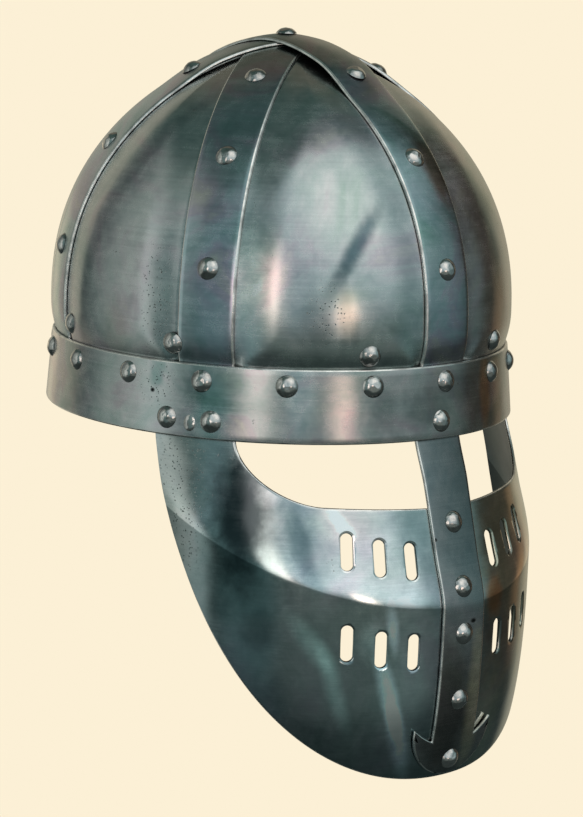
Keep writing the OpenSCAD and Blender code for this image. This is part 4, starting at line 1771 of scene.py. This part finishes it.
@dataclass
class Rivets:
    """Every rivet of the helmet: hand-hammered heads with their shanks and clenched ends."""

    form: HelmetForm
    face: FaceForm
    nasal: NasalBar
    steel: Material
    inside: Material
    head_r: float = 4.75 * MM
    head_h: float = 2.7 * MM
    rim_in: float = 0.1 * MM
    rim_under: float = 0.05 * MM
    shank_r: float = 2 * MM
    peen_r: float = 3.4 * MM
    flush_sizes: Colour = (3.6 * MM, 2.9 * MM, 0.6 * MM)
    clench_gap: float = 0.5 * MM
    blows: tuple[int, int] = (3, 5)
    blow_tilts: tuple[float, float] = (8, 52)
    blow_mm: tuple[float, float] = (0.12, 0.34)
    brow_count: int = 18
    brow_z: float = 25.5 * MM
    shift_fade: int = 24
    liner_z: float = 41 * MM
    arm_z: float = 8 * MM
    flush_z: float = 6.5 * MM
    arm_angles: tuple[float, float] = (57.3, 68.3)
    flush_angle: float = 62.36
    strap_shares: tuple[float, float, float] = (0.226, 0.615, 0.884)
    nasal_drops: tuple[float, ...] = (36.2 * MM, 64.2 * MM, 85.7 * MM, 116.85 * MM, 145.6 * MM)
    strap_edge_gap: float = 0.7 * MM
    least_grip: float = 0.3 * MM
    facets: int = 32
    cap_steps: int = 12
    peen_steps: int = 5
    kinds: int = 6
    seed: int = 11
    chance: random.Random = field(init=False)
    models: list[Piece] = field(init=False)

    def __post_init__(self) -> None:
        """Sets the seeded chance and hammers the model rivets."""
        self.chance = random.Random(self.seed)
        self.models = [self.hammer(i) for i in range(self.kinds)]

    @property
    def stack(self) -> float:
        """Depth of a dome rivet's clenched end."""
        return self.form.stack_depth + self.clench_gap

    def hammer(self, i: int) -> Piece:
        """Models one rivet with flats where the hammer struck its head.

        Args:
            i: Number of the model.

        Returns:
            A rivet with its head on z = 0 and the least grip.
        """
        obj = Bench.trace(f"rivet_model_{i}", [Vector((r, 0, z)) for r, z in self.section()])
        Bench.spin(obj, 360, self.facets, 1.0)
        with Bench.editing(obj):
            bpy.ops.mesh.normals_make_consistent(inside=False)
        heart = Vector((0, 0, self.head_h - self.ball_r))
        for _ in range(self.chance.randint(*self.blows)):
            turn = self.chance.uniform(0, 2 * math.pi)
            tilt = math.radians(self.chance.uniform(*self.blow_tilts))
            depth = self.chance.uniform(*self.blow_mm) * MM
            blow = Vector((math.sin(tilt) * math.cos(turn), math.sin(tilt) * math.sin(turn), math.cos(tilt)))
            for vertex in obj.data.vertices:
                beyond = (vertex.co - heart).dot(blow) - (self.ball_r - depth)
                if vertex.co.z > 0 and beyond > 0:
                    vertex.co -= blow * beyond
        return obj

    @property
    def ball_r(self) -> float:
        """Radius of the ball that the head is the cap of."""
        return (self.head_r ** 2 + self.head_h ** 2) / (2 * self.head_h)

    def section(self) -> list[tuple[float, float]]:
        """Traces half of a rivet's section, from the top of its head to the end of its shank.

        Returns:
            Points as radius and height.
        """
        full = math.asin(self.head_r / self.ball_r)
        points = []
        for k in range(self.cap_steps + 1):
            turn = full * k / self.cap_steps
            points.append((self.ball_r * math.sin(turn), self.head_h - self.ball_r * (1 - math.cos(turn))))
        points += [(self.head_r - self.rim_in, -self.rim_under), (self.shank_r, -self.rim_under),
                   (self.shank_r, -self.least_grip)]
        for k in range(self.peen_steps + 1):
            turn = math.pi / 2 * k / self.peen_steps
            low = self.least_grip + self.form.peen_h * math.sin(turn)
            points.append((self.peen_r * math.cos(turn), -low))
        return points

    def copy(self, seat: Seat, stretch: Colour = (1, 1, 1)) -> Piece:
        """Copies a model rivet to its seat, turned by chance and drawn out to its grip.

        Args:
            seat: Where the rivet stands.
            stretch: Scale of the head along the seat's axes.

        Returns:
            The copy, with its place in its mesh.
        """
        model = self.chance.choice(self.models)
        obj = model.copy()
        obj.data = model.data.copy()
        bpy.context.scene.collection.objects.link(obj)
        turn = Matrix.Rotation(self.chance.uniform(0, 2 * math.pi), 4, "Z")
        sizes = Matrix.Diagonal((*stretch, 1))
        place = seat_matrix(seat.point, seat.normal)
        for vertex in obj.data.vertices:
            co = turn @ vertex.co
            if co.z > -2 * self.rim_under:
                co = sizes @ co
            else:
                co.z -= seat.grip - self.least_grip
            vertex.co = place @ co
        return obj

    def on_strap(self, half: int, share: float) -> Seat:
        """Finds the seat of a rivet on a half strap.

        Args:
            half: The half strap's place, from the front towards the wearer's right.
            share: Share of the height from the widest level to the crown.

        Returns:
            The seat.
        """
        form = self.form
        turn = form.profile_turn(mix(form.bulge_z, form.dome_h, share))
        (r, z), (nr, nz) = form.profile(turn), form.profile_normal(turn)
        rise = form.strap_rise(half) * form.step_rise(turn)
        angle = form.oval_angle(form.strap_bearings[half])
        point = form.oval_point(angle, r + rise * nr, z + rise * nz)
        return Seat(point, form.oval_normal(angle, (nr, nz)), self.stack + rise)

    def on_brow(self, angle: float, z: float, grip: float) -> Seat:
        """Finds the seat of a rivet on the brow band.

        Args:
            angle: Angle on the oval.
            z: Height.
            grip: How much it holds together.

        Returns:
            The seat.
        """
        form = self.form
        normal = form.oval_normal(angle, unit2(form.brow_h, form.brow_lean))
        return Seat(form.oval_point(angle, form.brow_outer(z), z), normal, grip)

    def brow_angle(self, k: int) -> float:
        """Finds where a brow rivet stands, of which one meets the middle of the front strap.

        Args:
            k: The rivet's place, from the front towards the wearer's right.

        Returns:
            The angle on the oval.
        """
        step = 360 / self.brow_count
        near_front = math.cos(math.radians((k + 0.5) * step / 2)) ** self.shift_fade
        return k * step + self.form.strap_bearings[0] * near_front

    def on_shoulder(self, angle: float, depth: float, drop: float) -> Seat:
        """Finds the seat of a liner rivet.

        Args:
            angle: Angle on the oval.
            depth: Depth of the sheet under its head, below the straps' outer face.
            drop: How far it stands below its row.

        Returns:
            The seat.
        """
        form = self.form
        z = self.liner_z - drop
        point = form.oval_point(angle, form.draw_in(z) - depth, z)
        normal = form.oval_normal(angle, unit2(1, -form.draw_in_slope(z)))
        point += normal * form.swell(point, depth)
        return Seat(point, normal, form.liner_depth + form.liner_t + self.clench_gap - depth)

    def group(self, name: str, seats: Iterable[Seat], stretch: Colour = (1.05, 1.05, 1)) -> None:
        """Sets copies on their seats and joins them as one group.

        Args:
            name: Name of the CAD node that the group stands for.
            seats: The seats.
            stretch: Scale of the heads along the seats' axes.
        """
        obj = Bench.join([self.copy(seat, stretch) for seat in seats], f"{name}_hammered")
        Bench.finish(obj, (self.steel,), Slot.RIVET, (name,), sharp=60)

    def shoulder_seats(self) -> Iterator[Seat]:
        """Seats the liner rivets, of which one stands just behind each front diagonal strap.

        Yields:
            Each rivet's seat.
        """
        form = self.form
        outer, inner = form.outer_plate_depth, form.inner_plate_depth
        past = math.degrees((form.strap_w / 2 + self.shank_r + self.strap_edge_gap) / form.dome_r)
        right, left = (form.oval_angle(form.strap_bearings[half]) for half in (1, 5))
        for angle, depth, drop in ((20, outer, 1.9), (right + past, 0.0, 0.0), (104.5, inner, 0.2),
                                   (155, outer, 0.6), (-23, inner, 0.8), (left - past, 0.0, 0.0),
                                   (-104.5, outer, 0.4), (-155, inner, 0.3)):
            yield self.on_shoulder(angle, depth, drop * MM)

    def build(self) -> None:
        """Sets every group of rivets."""
        form, face = self.form, self.face
        arm_grip = form.brow_t + face.face_gap + face.face_t + self.clench_gap
        top_grip = form.brow_t + form.lay_gap + self.nasal.thickness + self.clench_gap
        brow_grip = form.brow_t + form.lay_gap + self.stack
        bar_grip = self.nasal.stand + face.face_t + self.clench_gap
        crown = Seat(Vector((0, 0, form.dome_h + 2 * form.strap_pitch)), Vector((0, 0, 1)),
                     3 * form.strap_pitch + self.clench_gap)
        whole = (self.head_r, self.head_r, self.head_h)
        flush = tuple(size / full for size, full in zip(self.flush_sizes, whole))
        self.group("crown_rivet", [crown])
        for i, name in enumerate(("front_to_back", "lower_diagonal", "upper_diagonal")):
            seats = [self.on_strap(half, share) for half in (i, i + 3) for share in self.strap_shares]
            self.group(f"{name}_strap_rivets", seats)
        self.group("brow_rivets", [self.on_brow(self.brow_angle(k), self.brow_z, brow_grip)
                                   for k in range(self.brow_count)])
        self.group("liner_rivets", self.shoulder_seats())
        for side, name in ((1, "right"), (-1, "left")):
            seats = [self.on_brow(side * angle, self.arm_z, arm_grip) for angle in self.arm_angles]
            self.group(f"cheek_rivets_{name}", seats)
        self.group("flush_rivets", [self.on_brow(side * self.flush_angle, self.flush_z, arm_grip)
                                    for side in (1, -1)], flush)
        self.group("nasal_top_rivet", [self.on_brow(0, self.arm_z, top_grip)])
        seats = [Seat(face.point(0, -drop, self.nasal.stand), face.normal(0, -drop), bar_grip)
                 for drop in self.nasal_drops]
        self.group("nasal_rivets", seats)
        for model in self.models:
            bpy.data.objects.remove(model)


@dataclass
class LeatherLiner:
    """A leather headband with one tongue up under each dome plate."""

    form: HelmetForm
    leather: Material
    band_low: float = 34 * MM
    band_high: float = 48 * MM
    tongue_gap: float = 9 * MM
    crown_hole_r: float = 34 * MM
    steps: int = 180
    shoulder_steps: int = 14
    edge_round: float = 0.5 * MM

    def build(self) -> None:
        """Spins the leather, cuts the gaps between its tongues and thickens it."""
        form = self.form
        depth = form.liner_depth
        line = form.dome_line(depth, shoulder_steps=self.shoulder_steps, tip_r=self.crown_hole_r)
        above = [(r, z) for r, z in line if self.band_low < z and r >= self.crown_hole_r]
        first = (form.draw_in(self.band_low) - depth, self.band_low)
        points = [Vector((0, -r, z)) for r, z in [first, *above]]
        obj = Bench.trace("leather_liner_sewn", points)
        Bench.spin(obj, 360, self.steps, form.oval)
        with Bench.editing(obj):
            bpy.ops.mesh.bisect(plane_co=(0, 0, self.band_high), plane_no=(0, 0, 1))
            for bearing in form.strap_bearings[:-1]:
                self.cut_gap(obj, bearing)
        Bench.thicken(obj, form.liner_t)
        Bench.round_edges(obj, self.edge_round)
        Bench.finish(obj, (self.leather,), Slot.LEATHER, ("leather_liner",))

    def cut_gap(self, obj: Piece, bearing: float) -> None:
        """Cuts the gap between two tongues, in edit mode.

        Args:
            obj: The spun leather.
            bearing: Bearing of the strap above the gap.
        """
        along, across = heading(bearing), sideways(bearing)

        def near(face: bmesh.types.BMFace, reach: float) -> bool:
            """Says whether a face lies above the headband and within reach of the strap."""
            middle = face.calc_center_median()
            return middle.z > self.band_high and middle.dot(along) > 0 and abs(middle.dot(across)) < reach

        for side in (1, -1):
            Bench.pick_faces(obj, lambda f: near(f, 3 * self.tongue_gap))
            bpy.ops.mesh.bisect(plane_co=across * side * self.tongue_gap, plane_no=across)
        if Bench.pick_faces(obj, lambda f: near(f, self.tongue_gap)):
            bpy.ops.mesh.delete(type="FACE")


@dataclass(frozen=True)
class Panel:
    """A lit or dark panel in the studio's surroundings, with its place and half sizes in degrees."""

    bearing: float
    height: float
    half_width: float
    half_height: float
    colour: Colour
    softness: float = 0.4

    def share(self, g: Graph, direction: Socket) -> Socket:
        """Builds the share of the panel that is seen in a direction.

        Args:
            g: Graph of the world.
            direction: Direction of the ray.

        Returns:
            A value from 0 to 1.
        """
        ahead, side = heading(self.bearing, self.height), sideways(self.bearing)
        front = g.dot(direction, ahead)
        glow = g.span(front, 0.0, 0.12)
        reach = g.math("MAXIMUM", front, 0.02)
        for axis, half in ((side, self.half_width), (ahead.cross(side), self.half_height)):
            off = g.math("ABSOLUTE", g.math("DIVIDE", g.dot(direction, axis), reach))
            edge = math.tan(math.radians(half))
            within = g.span(off, edge * (1 + self.softness), edge * (1 - self.softness))
            glow = g.math("MULTIPLY", glow, within)
        return glow


@dataclass
class Studio:
    """Plain pale floor, soft light and the camera at the photograph's angle."""

    backdrop: Colour = (0.973, 0.871, 0.672)
    ceiling: Colour = (0.07, 0.12, 0.11)
    level: Colour = (0.10, 0.135, 0.13)
    ground: Colour = (0.045, 0.06, 0.058)
    floor_drop: float = 0.45
    floor_size: float = 60
    camera_bearing: float = 39.868
    camera_height: float = 10.212
    camera_roll: float = 1.495
    camera_distance: float = 1.3086
    focal_pixels: float = 2728.5
    middle_pixel: tuple[float, float] = (276.9, 399.0)
    frame_pixels: tuple[int, int] = (583, 817)
    sensor: float = 36

    def panels(self) -> tuple[Panel, ...]:
        """Lists the panels of the surroundings, of which a later one covers an earlier one.

        Returns:
            The panels.
        """
        return (
            Panel(15, -20, 52, 12, (0.18, 0.215, 0.20), 0.7),
            Panel(-44, 28, 20, 40, (0.22, 0.33, 0.34), 0.6),
            Panel(-80, 12, 20, 34, (0.06, 0.06, 0.05), 0.3),
            Panel(5, 66, 50, 12, (0.55, 0.66, 0.66), 0.5),
            Panel(15, 33, 48, 35, (0.62, 0.73, 0.75), 0.42),
            Panel(2, 48, 22, 22, (1.22, 1.25, 1.20), 0.7),
            Panel(39, 7, 6, 13, (0.30, 0.42, 0.46), 0.6),
            Panel(15, -1, 5, 4.5, (3.0, 2.4, 2.1), 0.6),
            Panel(78, 10, 16, 34, (0.16, 0.25, 0.25), 0.6),
            Panel(58.5, 8, 6, 14, (2.2, 2.0, 1.85), 0.55),
            Panel(124, 10, 24, 40, (0.36, 0.41, 0.38), 0.25),
            Panel(107, 6, 9, 26, (0.72, 0.78, 0.75), 0.6),
            Panel(152, 10, 9, 38, (0.14, 0.16, 0.16), 0.6),
            Panel(188, 2, 25, 30, (0.44, 0.43, 0.35), 0.3),
            Panel(-122, 8, 18, 34, (0.48, 0.44, 0.33), 0.5),
            Panel(-98, -9, 5, 7, (0.30, 0.21, 0.13), 0.7),
            Panel(-166, -6, 6, 7, (0.95, 0.82, 0.60), 0.5),
            Panel(-145, 45, 22, 16, (0.20, 0.19, 0.15), 0.6),
        )

    def build(self) -> None:
        """Builds the floor, the surroundings and the camera."""
        self.lay_floor()
        self.surround()
        self.set_camera()
        scene = bpy.context.scene
        scene.view_settings.view_transform = "Standard"
        scene.view_settings.look = "None"

    def lay_floor(self) -> None:
        """Lays the plain pale floor well below the helmet."""
        Bench.put_away()
        bpy.ops.mesh.primitive_plane_add(size=self.floor_size, location=(0, 0, -self.floor_drop))
        floor = bpy.context.object
        floor.name = "pale_floor"
        Bench.settle(floor)
        material, g = Graph.of_material("pale_floor")
        plain = g.add("ShaderNodeEmission")
        g.feed(plain.inputs["Color"], self.backdrop)
        g.end(plain)
        floor.data.materials.append(material)
        floor.visible_glossy = False
        floor.visible_diffuse = False
        floor.visible_shadow = False

    def surround(self) -> None:
        """Builds the pale backdrop and the soft patches that the steel reflects."""
        world = bpy.data.worlds.new("studio")
        bpy.context.scene.world = world
        world.use_nodes = True
        g = Graph(world.node_tree)
        direction = g.add("ShaderNodeTexCoord").outputs["Generated"]
        height = g.dot(direction, Vector((0, 0, 1)))
        sky = ((0.40, self.ground), (0.52, self.level), (0.80, self.ceiling))
        colour = g.ramp(g.span(height, -1, 1), sky)
        for panel in self.panels():
            colour = g.blend(panel.share(g, direction), colour, panel.colour)
        seen, lit = g.add("ShaderNodeBackground"), g.add("ShaderNodeBackground")
        g.feed(seen.inputs["Color"], self.backdrop)
        g.feed(lit.inputs["Color"], colour)
        choice = g.add("ShaderNodeMixShader")
        g.feed(choice.inputs[0], g.add("ShaderNodeLightPath").outputs["Is Camera Ray"])
        g.feed(choice.inputs[1], lit.outputs[0])
        g.feed(choice.inputs[2], seen.outputs[0])
        g.end(choice, "ShaderNodeOutputWorld")

    def set_camera(self) -> None:
        """Sets the camera where the photograph was taken from, turned and shifted to its frame."""
        roll = math.radians(self.camera_roll)
        back, right = heading(self.camera_bearing, self.camera_height), -sideways(self.camera_bearing)
        up = back.cross(right)
        rolled = right * math.cos(roll) + up * math.sin(roll)
        upright = up * math.cos(roll) - right * math.sin(roll)
        lens = bpy.data.cameras.new("camera")
        camera = bpy.data.objects.new("camera", lens)
        bpy.context.scene.collection.objects.link(camera)
        camera.matrix_world = Matrix.Translation(back * self.camera_distance) @ Matrix(
            (rolled, upright, back)).transposed().to_4x4()
        wide, tall = self.frame_pixels
        lens.sensor_fit = "AUTO"
        lens.sensor_width = self.sensor
        lens.lens = self.focal_pixels * self.sensor / tall
        lens.shift_x = (wide / 2 - self.middle_pixel[0]) / tall
        lens.shift_y = (self.middle_pixel[1] - tall / 2) / tall
        lens.clip_start, lens.clip_end = 0.05, 200
        bpy.context.scene.camera = camera


# Temper colours, each at its place on a ramp from dark to light
BLUED = ((0.30, (0.22, 0.36, 0.34)), (0.41, (0.34, 0.45, 0.47)), (0.50, (0.43, 0.50, 0.54)),
         (0.59, (0.45, 0.42, 0.50)), (0.72, (0.53, 0.53, 0.48)))
GREY = ((0.30, (0.36, 0.46, 0.43)), (0.43, (0.47, 0.53, 0.53)), (0.53, (0.56, 0.58, 0.59)),
        (0.62, (0.55, 0.51, 0.55)), (0.74, (0.64, 0.62, 0.57)))
DULL = ((0.32, (0.25, 0.30, 0.31)), (0.46, (0.34, 0.36, 0.36)), (0.60, (0.40, 0.37, 0.38)),
        (0.72, (0.47, 0.46, 0.43)))
CLEAR = ((0.32, (0.36, 0.46, 0.47)), (0.45, (0.47, 0.55, 0.57)), (0.55, (0.55, 0.60, 0.64)),
         (0.66, (0.58, 0.56, 0.63)))

# Tints that the marks multiply the steel's colour by, for real stain marks and for painted highlights and
# shades
WARM = (1.06, 0.94, 0.84)
# Darker tint, for soot and for painted dark reflections
SOOT_AND_SHADE = (0.52, 0.56, 0.57)
RUST = (0.60, 0.36, 0.26)
# Tints of painted highlight streaks
WHITE_HIGHLIGHT = (3.2, 3.2, 3.4)
TEAL_HIGHLIGHT = (1.9, 2.15, 2.1)

# Marks of each sheet, real stain marks and painted highlights and shades, laid on in this order
PLATE_STAINS_AND_PAINTED_LIGHT = (
    Mark.between((-29, -97, 99), (-47, -98.5, 76), 4.2, tint=(0.22, 0.31, 0.35), ragged=0.4),
    Mark.between((-47, -98.5, 76), (-53, -97, 66), 3.5, strength=0.6, tint=SOOT_AND_SHADE, ragged=0.6),
    # Painted highlight: a pinkish lamp spot on the plate
    Mark((-73.5, -77, 73), (7, 9, 17), 0.9, (1.6, 1.38, 1.28), ragged=0.3, softness=0.9),
    # Painted reflection: dark patches round the second lamp spot
    Mark((-47, -100, 56), (2.6, 6, 14), 0.6, SOOT_AND_SHADE, ragged=0.8),
    Mark((-43, -101, 50), (2, 6, 8), 0.5, SOOT_AND_SHADE, ragged=0.8),
    Mark((-58, -95, 54), (6, 8, 12), 0.5, SOOT_AND_SHADE, ragged=1.2),
    # Painted dark reflection: a long streak down the plate
    Mark.between((-60.6, -13.2, 140.6), (-85.4, -2, 113.4), 5.5, strength=0.7, tint=SOOT_AND_SHADE, ragged=0.5),
    Mark.between((-85.4, -2, 113.4), (-100.6, 10.7, 71.9), 5.5, strength=0.8, tint=SOOT_AND_SHADE, ragged=0.5),
    Mark.between((-100.6, 10.7, 71.9), (-102, 14, 36), 5, strength=0.7, tint=SOOT_AND_SHADE, ragged=0.5),
    Mark((-102, -11, 43), (8, 9, 14), 0.6, (0.75, 0.74, 0.68)),
    Mark((-90, -50, 95), (10, 10, 26), 0.5, (1.1, 1.12, 1.14)),
    # Painted shade: the crown darker and browner
    Mark((0, 0, 172), (62, 62, 22), 0.7, (0.76, 0.68, 0.60), softness=0.8),
    # Painted light: lifts the darker zone beside the strap
    Mark((-80, -73, 68), (7, 8, 40), 0.8, (1.5, 1.6, 1.6)),
    # Painted highlight: the second pinkish lamp spot
    Mark((-46, -100, 58), (4, 7, 8), tint=(1.8, 1.5, 1.32), ragged=0.4, softness=0.8),
    Mark((45, -80, 80), (30, 40, 80), 0.8, WARM, softness=0.7))
PLATE_SMEARS = (Mark.between((-69.9, -80, 74), (-67.6, -82.4, 74.5), 0.7, ragged=0.3),)
PLATE_PITS = (Mark((-97, -33, 60), (7, 8, 22), 0.8), Mark((-55, -96, 58), (8, 10, 12), 0.7))
STRAP_STAINS_AND_PAINTED_SHADE = (
    Mark((12, -90, 117), (6, 16, 18), 0.9, RUST),
    Mark((3, -106, 78), (14, 14, 20), 0.4, WARM),
    # Painted shade: the crown darker and browner
    Mark((0, 0, 176), (70, 70, 26), 0.9, (0.50, 0.43, 0.38), softness=0.8),
    Mark((-88, -62, 80), (9, 9, 60), 0.5, (1.25, 1.2, 1.3)),
    Mark((-70, -70, 105), (10, 14, 26), 0.6, (0.5, 0.72, 0.66)))
BAND_STAINS = (
    Mark((-15, -110, 16), (85, 45, 40), 0.8, (0.70, 0.68, 0.66), ragged=0.3),
    Mark((-8, -115, 14), (12, 6, 8), 0.6, SOOT_AND_SHADE, ragged=1.4),
    Mark((12, -113, 22), (10, 6, 6), 0.6, SOOT_AND_SHADE, ragged=1.4),
    Mark((-63, -93, 20), (6, 8, 14), 0.7, (1.5, 1.55, 1.55)),
    Mark((32, -108, 18), (4.5, 6, 16), 0.9, (1.6, 1.0, 0.62)),
    Mark((8, -114, 16), (18, 8, 20), 0.7, WARM),
    Mark((-50, -101, 18), (9, 9, 13), 0.6, (1.6, 1.36, 1.32)),
    Mark((-30, -110, 14), (6, 6, 9), 0.7, SOOT_AND_SHADE, ragged=1.2),
    Mark((-99.5, -36, 27), (4, 4, 7), 0.8, (0.40, 0.58, 0.56), ragged=1.0),
    Mark((-92, -54, 22), (5, 5, 8), 0.7, SOOT_AND_SHADE, ragged=1.2),
    Mark((-88, -62, 14), (6, 8, 12), 0.6, (0.6, 0.9, 0.9)),
    Mark((-100, 20, 18), (8, 12, 20), 0.5, (1.0, 0.96, 0.88)))
BAND_SMEARS = (Mark((-101, -34.4, 19.2), (1.4, 1.0, 0.9), ragged=0.5),)
BAND_PITS = (Mark((-99.5, -36, 22), (5, 9, 10), 0.7),)
FACE_STAINS_AND_PAINTED_LIGHT = (
    # Painted highlight: the upper panel brightened
    Mark((-43, -116, -45), (32, 40, 34), 0.9, (1.55, 1.46, 1.38), softness=0.7),
    Mark((-97, -48, -30), (16, 14, 50), 0.8, (0.95, 0.86, 0.80)),
    # Painted shade: dims the lamp's reflection on the arm, and more mildly next to it
    Mark((-84.5, -78.5, -32), (10, 14, 32), tint=(0.14, 0.15, 0.16), softness=0.5),
    Mark((-75, -90, -36), (4, 8, 14), 0.6, (0.55, 0.55, 0.58)),
    # Painted shade: the upper panel darkened by the nasal and between the bright streak and the slots
    Mark((-14, -131, -60), (8, 10, 13), 0.9, (0.50, 0.56, 0.58)),
    Mark((-21, -124, -40), (9, 12, 15), 0.8, (0.46, 0.54, 0.57)),
    Mark((-37, -117, -31), (15, 14, 7), 0.6, (0.58, 0.64, 0.66)),
    Mark((-61, -105, -40), (6, 9, 18), 0.5, (0.60, 0.66, 0.68)),
    # Painted highlight streak above the slots
    Mark.streak((-58, -106, -27), (-51, -111, -36), 2.6, (1.8, 1.72, 1.6), 0.8),
    Mark((-81, -88, -82), (6, 9, 9), 0.8, (0.6, 0.58, 0.58)),
    # Painted shade: a darker band beside the bright streak
    Mark.between((-70, -96, -30), (-66, -103, -54), 4.5, strength=0.9, tint=(0.42, 0.50, 0.52), ragged=0.4),
    # Painted highlight on the upper panel
    Mark((-52, -110, -33), (16, 20, 9), 0.8, (1.35, 1.28, 1.18)),
    # Painted highlights: soft bright streaks and spots on the lower panel, white and teal
    Mark.streak((-36.5, -126.5, -74), (-35, -127, -86), 2.2, WHITE_HIGHLIGHT, 0.7),
    Mark((-45, -122.5, -85), (4, 5, 7), 0.8, (2.1, 2.1, 2.1), softness=0.9),
    Mark.streak((-39.5, -124.3, -98), (-32, -126, -124), 3.2, WHITE_HIGHLIGHT),
    Mark.streak((-32, -126, -124), (-25, -124, -146), 3.4, WHITE_HIGHLIGHT, 0.6),
    Mark.streak((-71, -104.5, -80), (-61.5, -112, -95), 3.8, TEAL_HIGHLIGHT, 0.8),
    Mark.streak((-61.5, -112, -95), (-54, -117, -124), 3.2, TEAL_HIGHLIGHT, 0.8),
    Mark((-27, -127, -112), (12, 9, 34), 0.8, (1.6, 1.68, 1.66), softness=0.8),
    Mark((20, -126, -132), (13, 14, 26), 0.9, (2.1, 1.85, 1.5), softness=0.8),
    Mark((45, -112, -60), (34, 40, 50), 0.9, (1.25, 1.0, 0.74)),
    Mark((22, -131, -72), (6, 8, 9), 0.8, (1.5, 0.8, 0.5)))
FACE_PITS = (Mark((-58.5, -109.5, -48), (1.6, 4, 9), ragged=0.4),
             Mark((-95, -50, -28), (14, 14, 36), 0.7))
NASAL_STAINS = (Mark((-6, -130, -122), (12, 20, 34), 0.9, (0.44, 0.41, 0.39)),
                Mark((9.5, -130, -118), (5, 20, 30), 0.9, (2.3, 2.0, 1.5)),
                Mark((0, -120, -20), (30, 20, 40), 0.8, (0.74, 0.75, 0.76)))
NASAL_SMEARS = (Mark((-12.4, -126.6, -43), (1.4, 1.5, 0.8), ragged=0.3),
                Mark((5.3, -135.3, -80.5), (1.6, 2, 1.0), ragged=0.6))


def main() -> None:
    """Builds the helmet piece by piece and sets the studio round it."""
    logging.basicConfig(level=logging.INFO, format="%(name)s: %(message)s")
    form = HelmetForm.from_frame()
    face = FaceForm(form)
    edge = WornFinish("worn_edge", (0.86, 0.84, 0.81), 0.28).make()
    # Rivet heads, with painted shade in their corners
    heads = WornFinish("rivet_steel", (0.64, 0.62, 0.60), 0.17, corner_shade=0.9, hammering=0.5).make()
    # Slot walls nearly black: painted shade inside the slots
    wall = WornFinish("slot_wall_shade", (0.09, 0.10, 0.10), 0.45).make()
    crease = Crease(face.ridge_drop, face.ridge_climb, form.oval)
    plates = SteelFinish("plate_steel", GREY, stains_and_painted_light=PLATE_STAINS_AND_PAINTED_LIGHT, smears=PLATE_SMEARS, pits=PLATE_PITS,
                         speckle=0.6)
    straps = SteelFinish("strap_steel", BLUED, cloud_scale=24, stains_and_painted_light=STRAP_STAINS_AND_PAINTED_SHADE)
    band = SteelFinish("band_steel", GREY, cloud_scale=30, stains_and_painted_light=BAND_STAINS, smears=BAND_SMEARS,
                       pits=BAND_PITS)
    breathed = SteelFinish("face_steel", CLEAR, roughness=0.15, brush=(60, 60, 1400), stains_and_painted_light=FACE_STAINS_AND_PAINTED_LIGHT,
                           pits=FACE_PITS, crease=crease)
    barred = SteelFinish("nasal_steel", DULL, roughness=0.27, stains_and_painted_light=NASAL_STAINS, smears=NASAL_SMEARS)
    DomePlates(form, plates.make(), edge).build()
    Straps(form, straps.make(), edge).build()
    BrowBand(form, band.make(), edge).build()
    FacePlate(face, breathed.make(), edge, wall).build()
    nasal = NasalBar(face, barred.make(), edge)
    nasal.build()
    Rivets(form, face, nasal, heads, edge).build()
    LeatherLiner(form, LeatherFinish("liner_leather").make()).build()
    Studio().build()


if __name__ == "__main__":
    main()
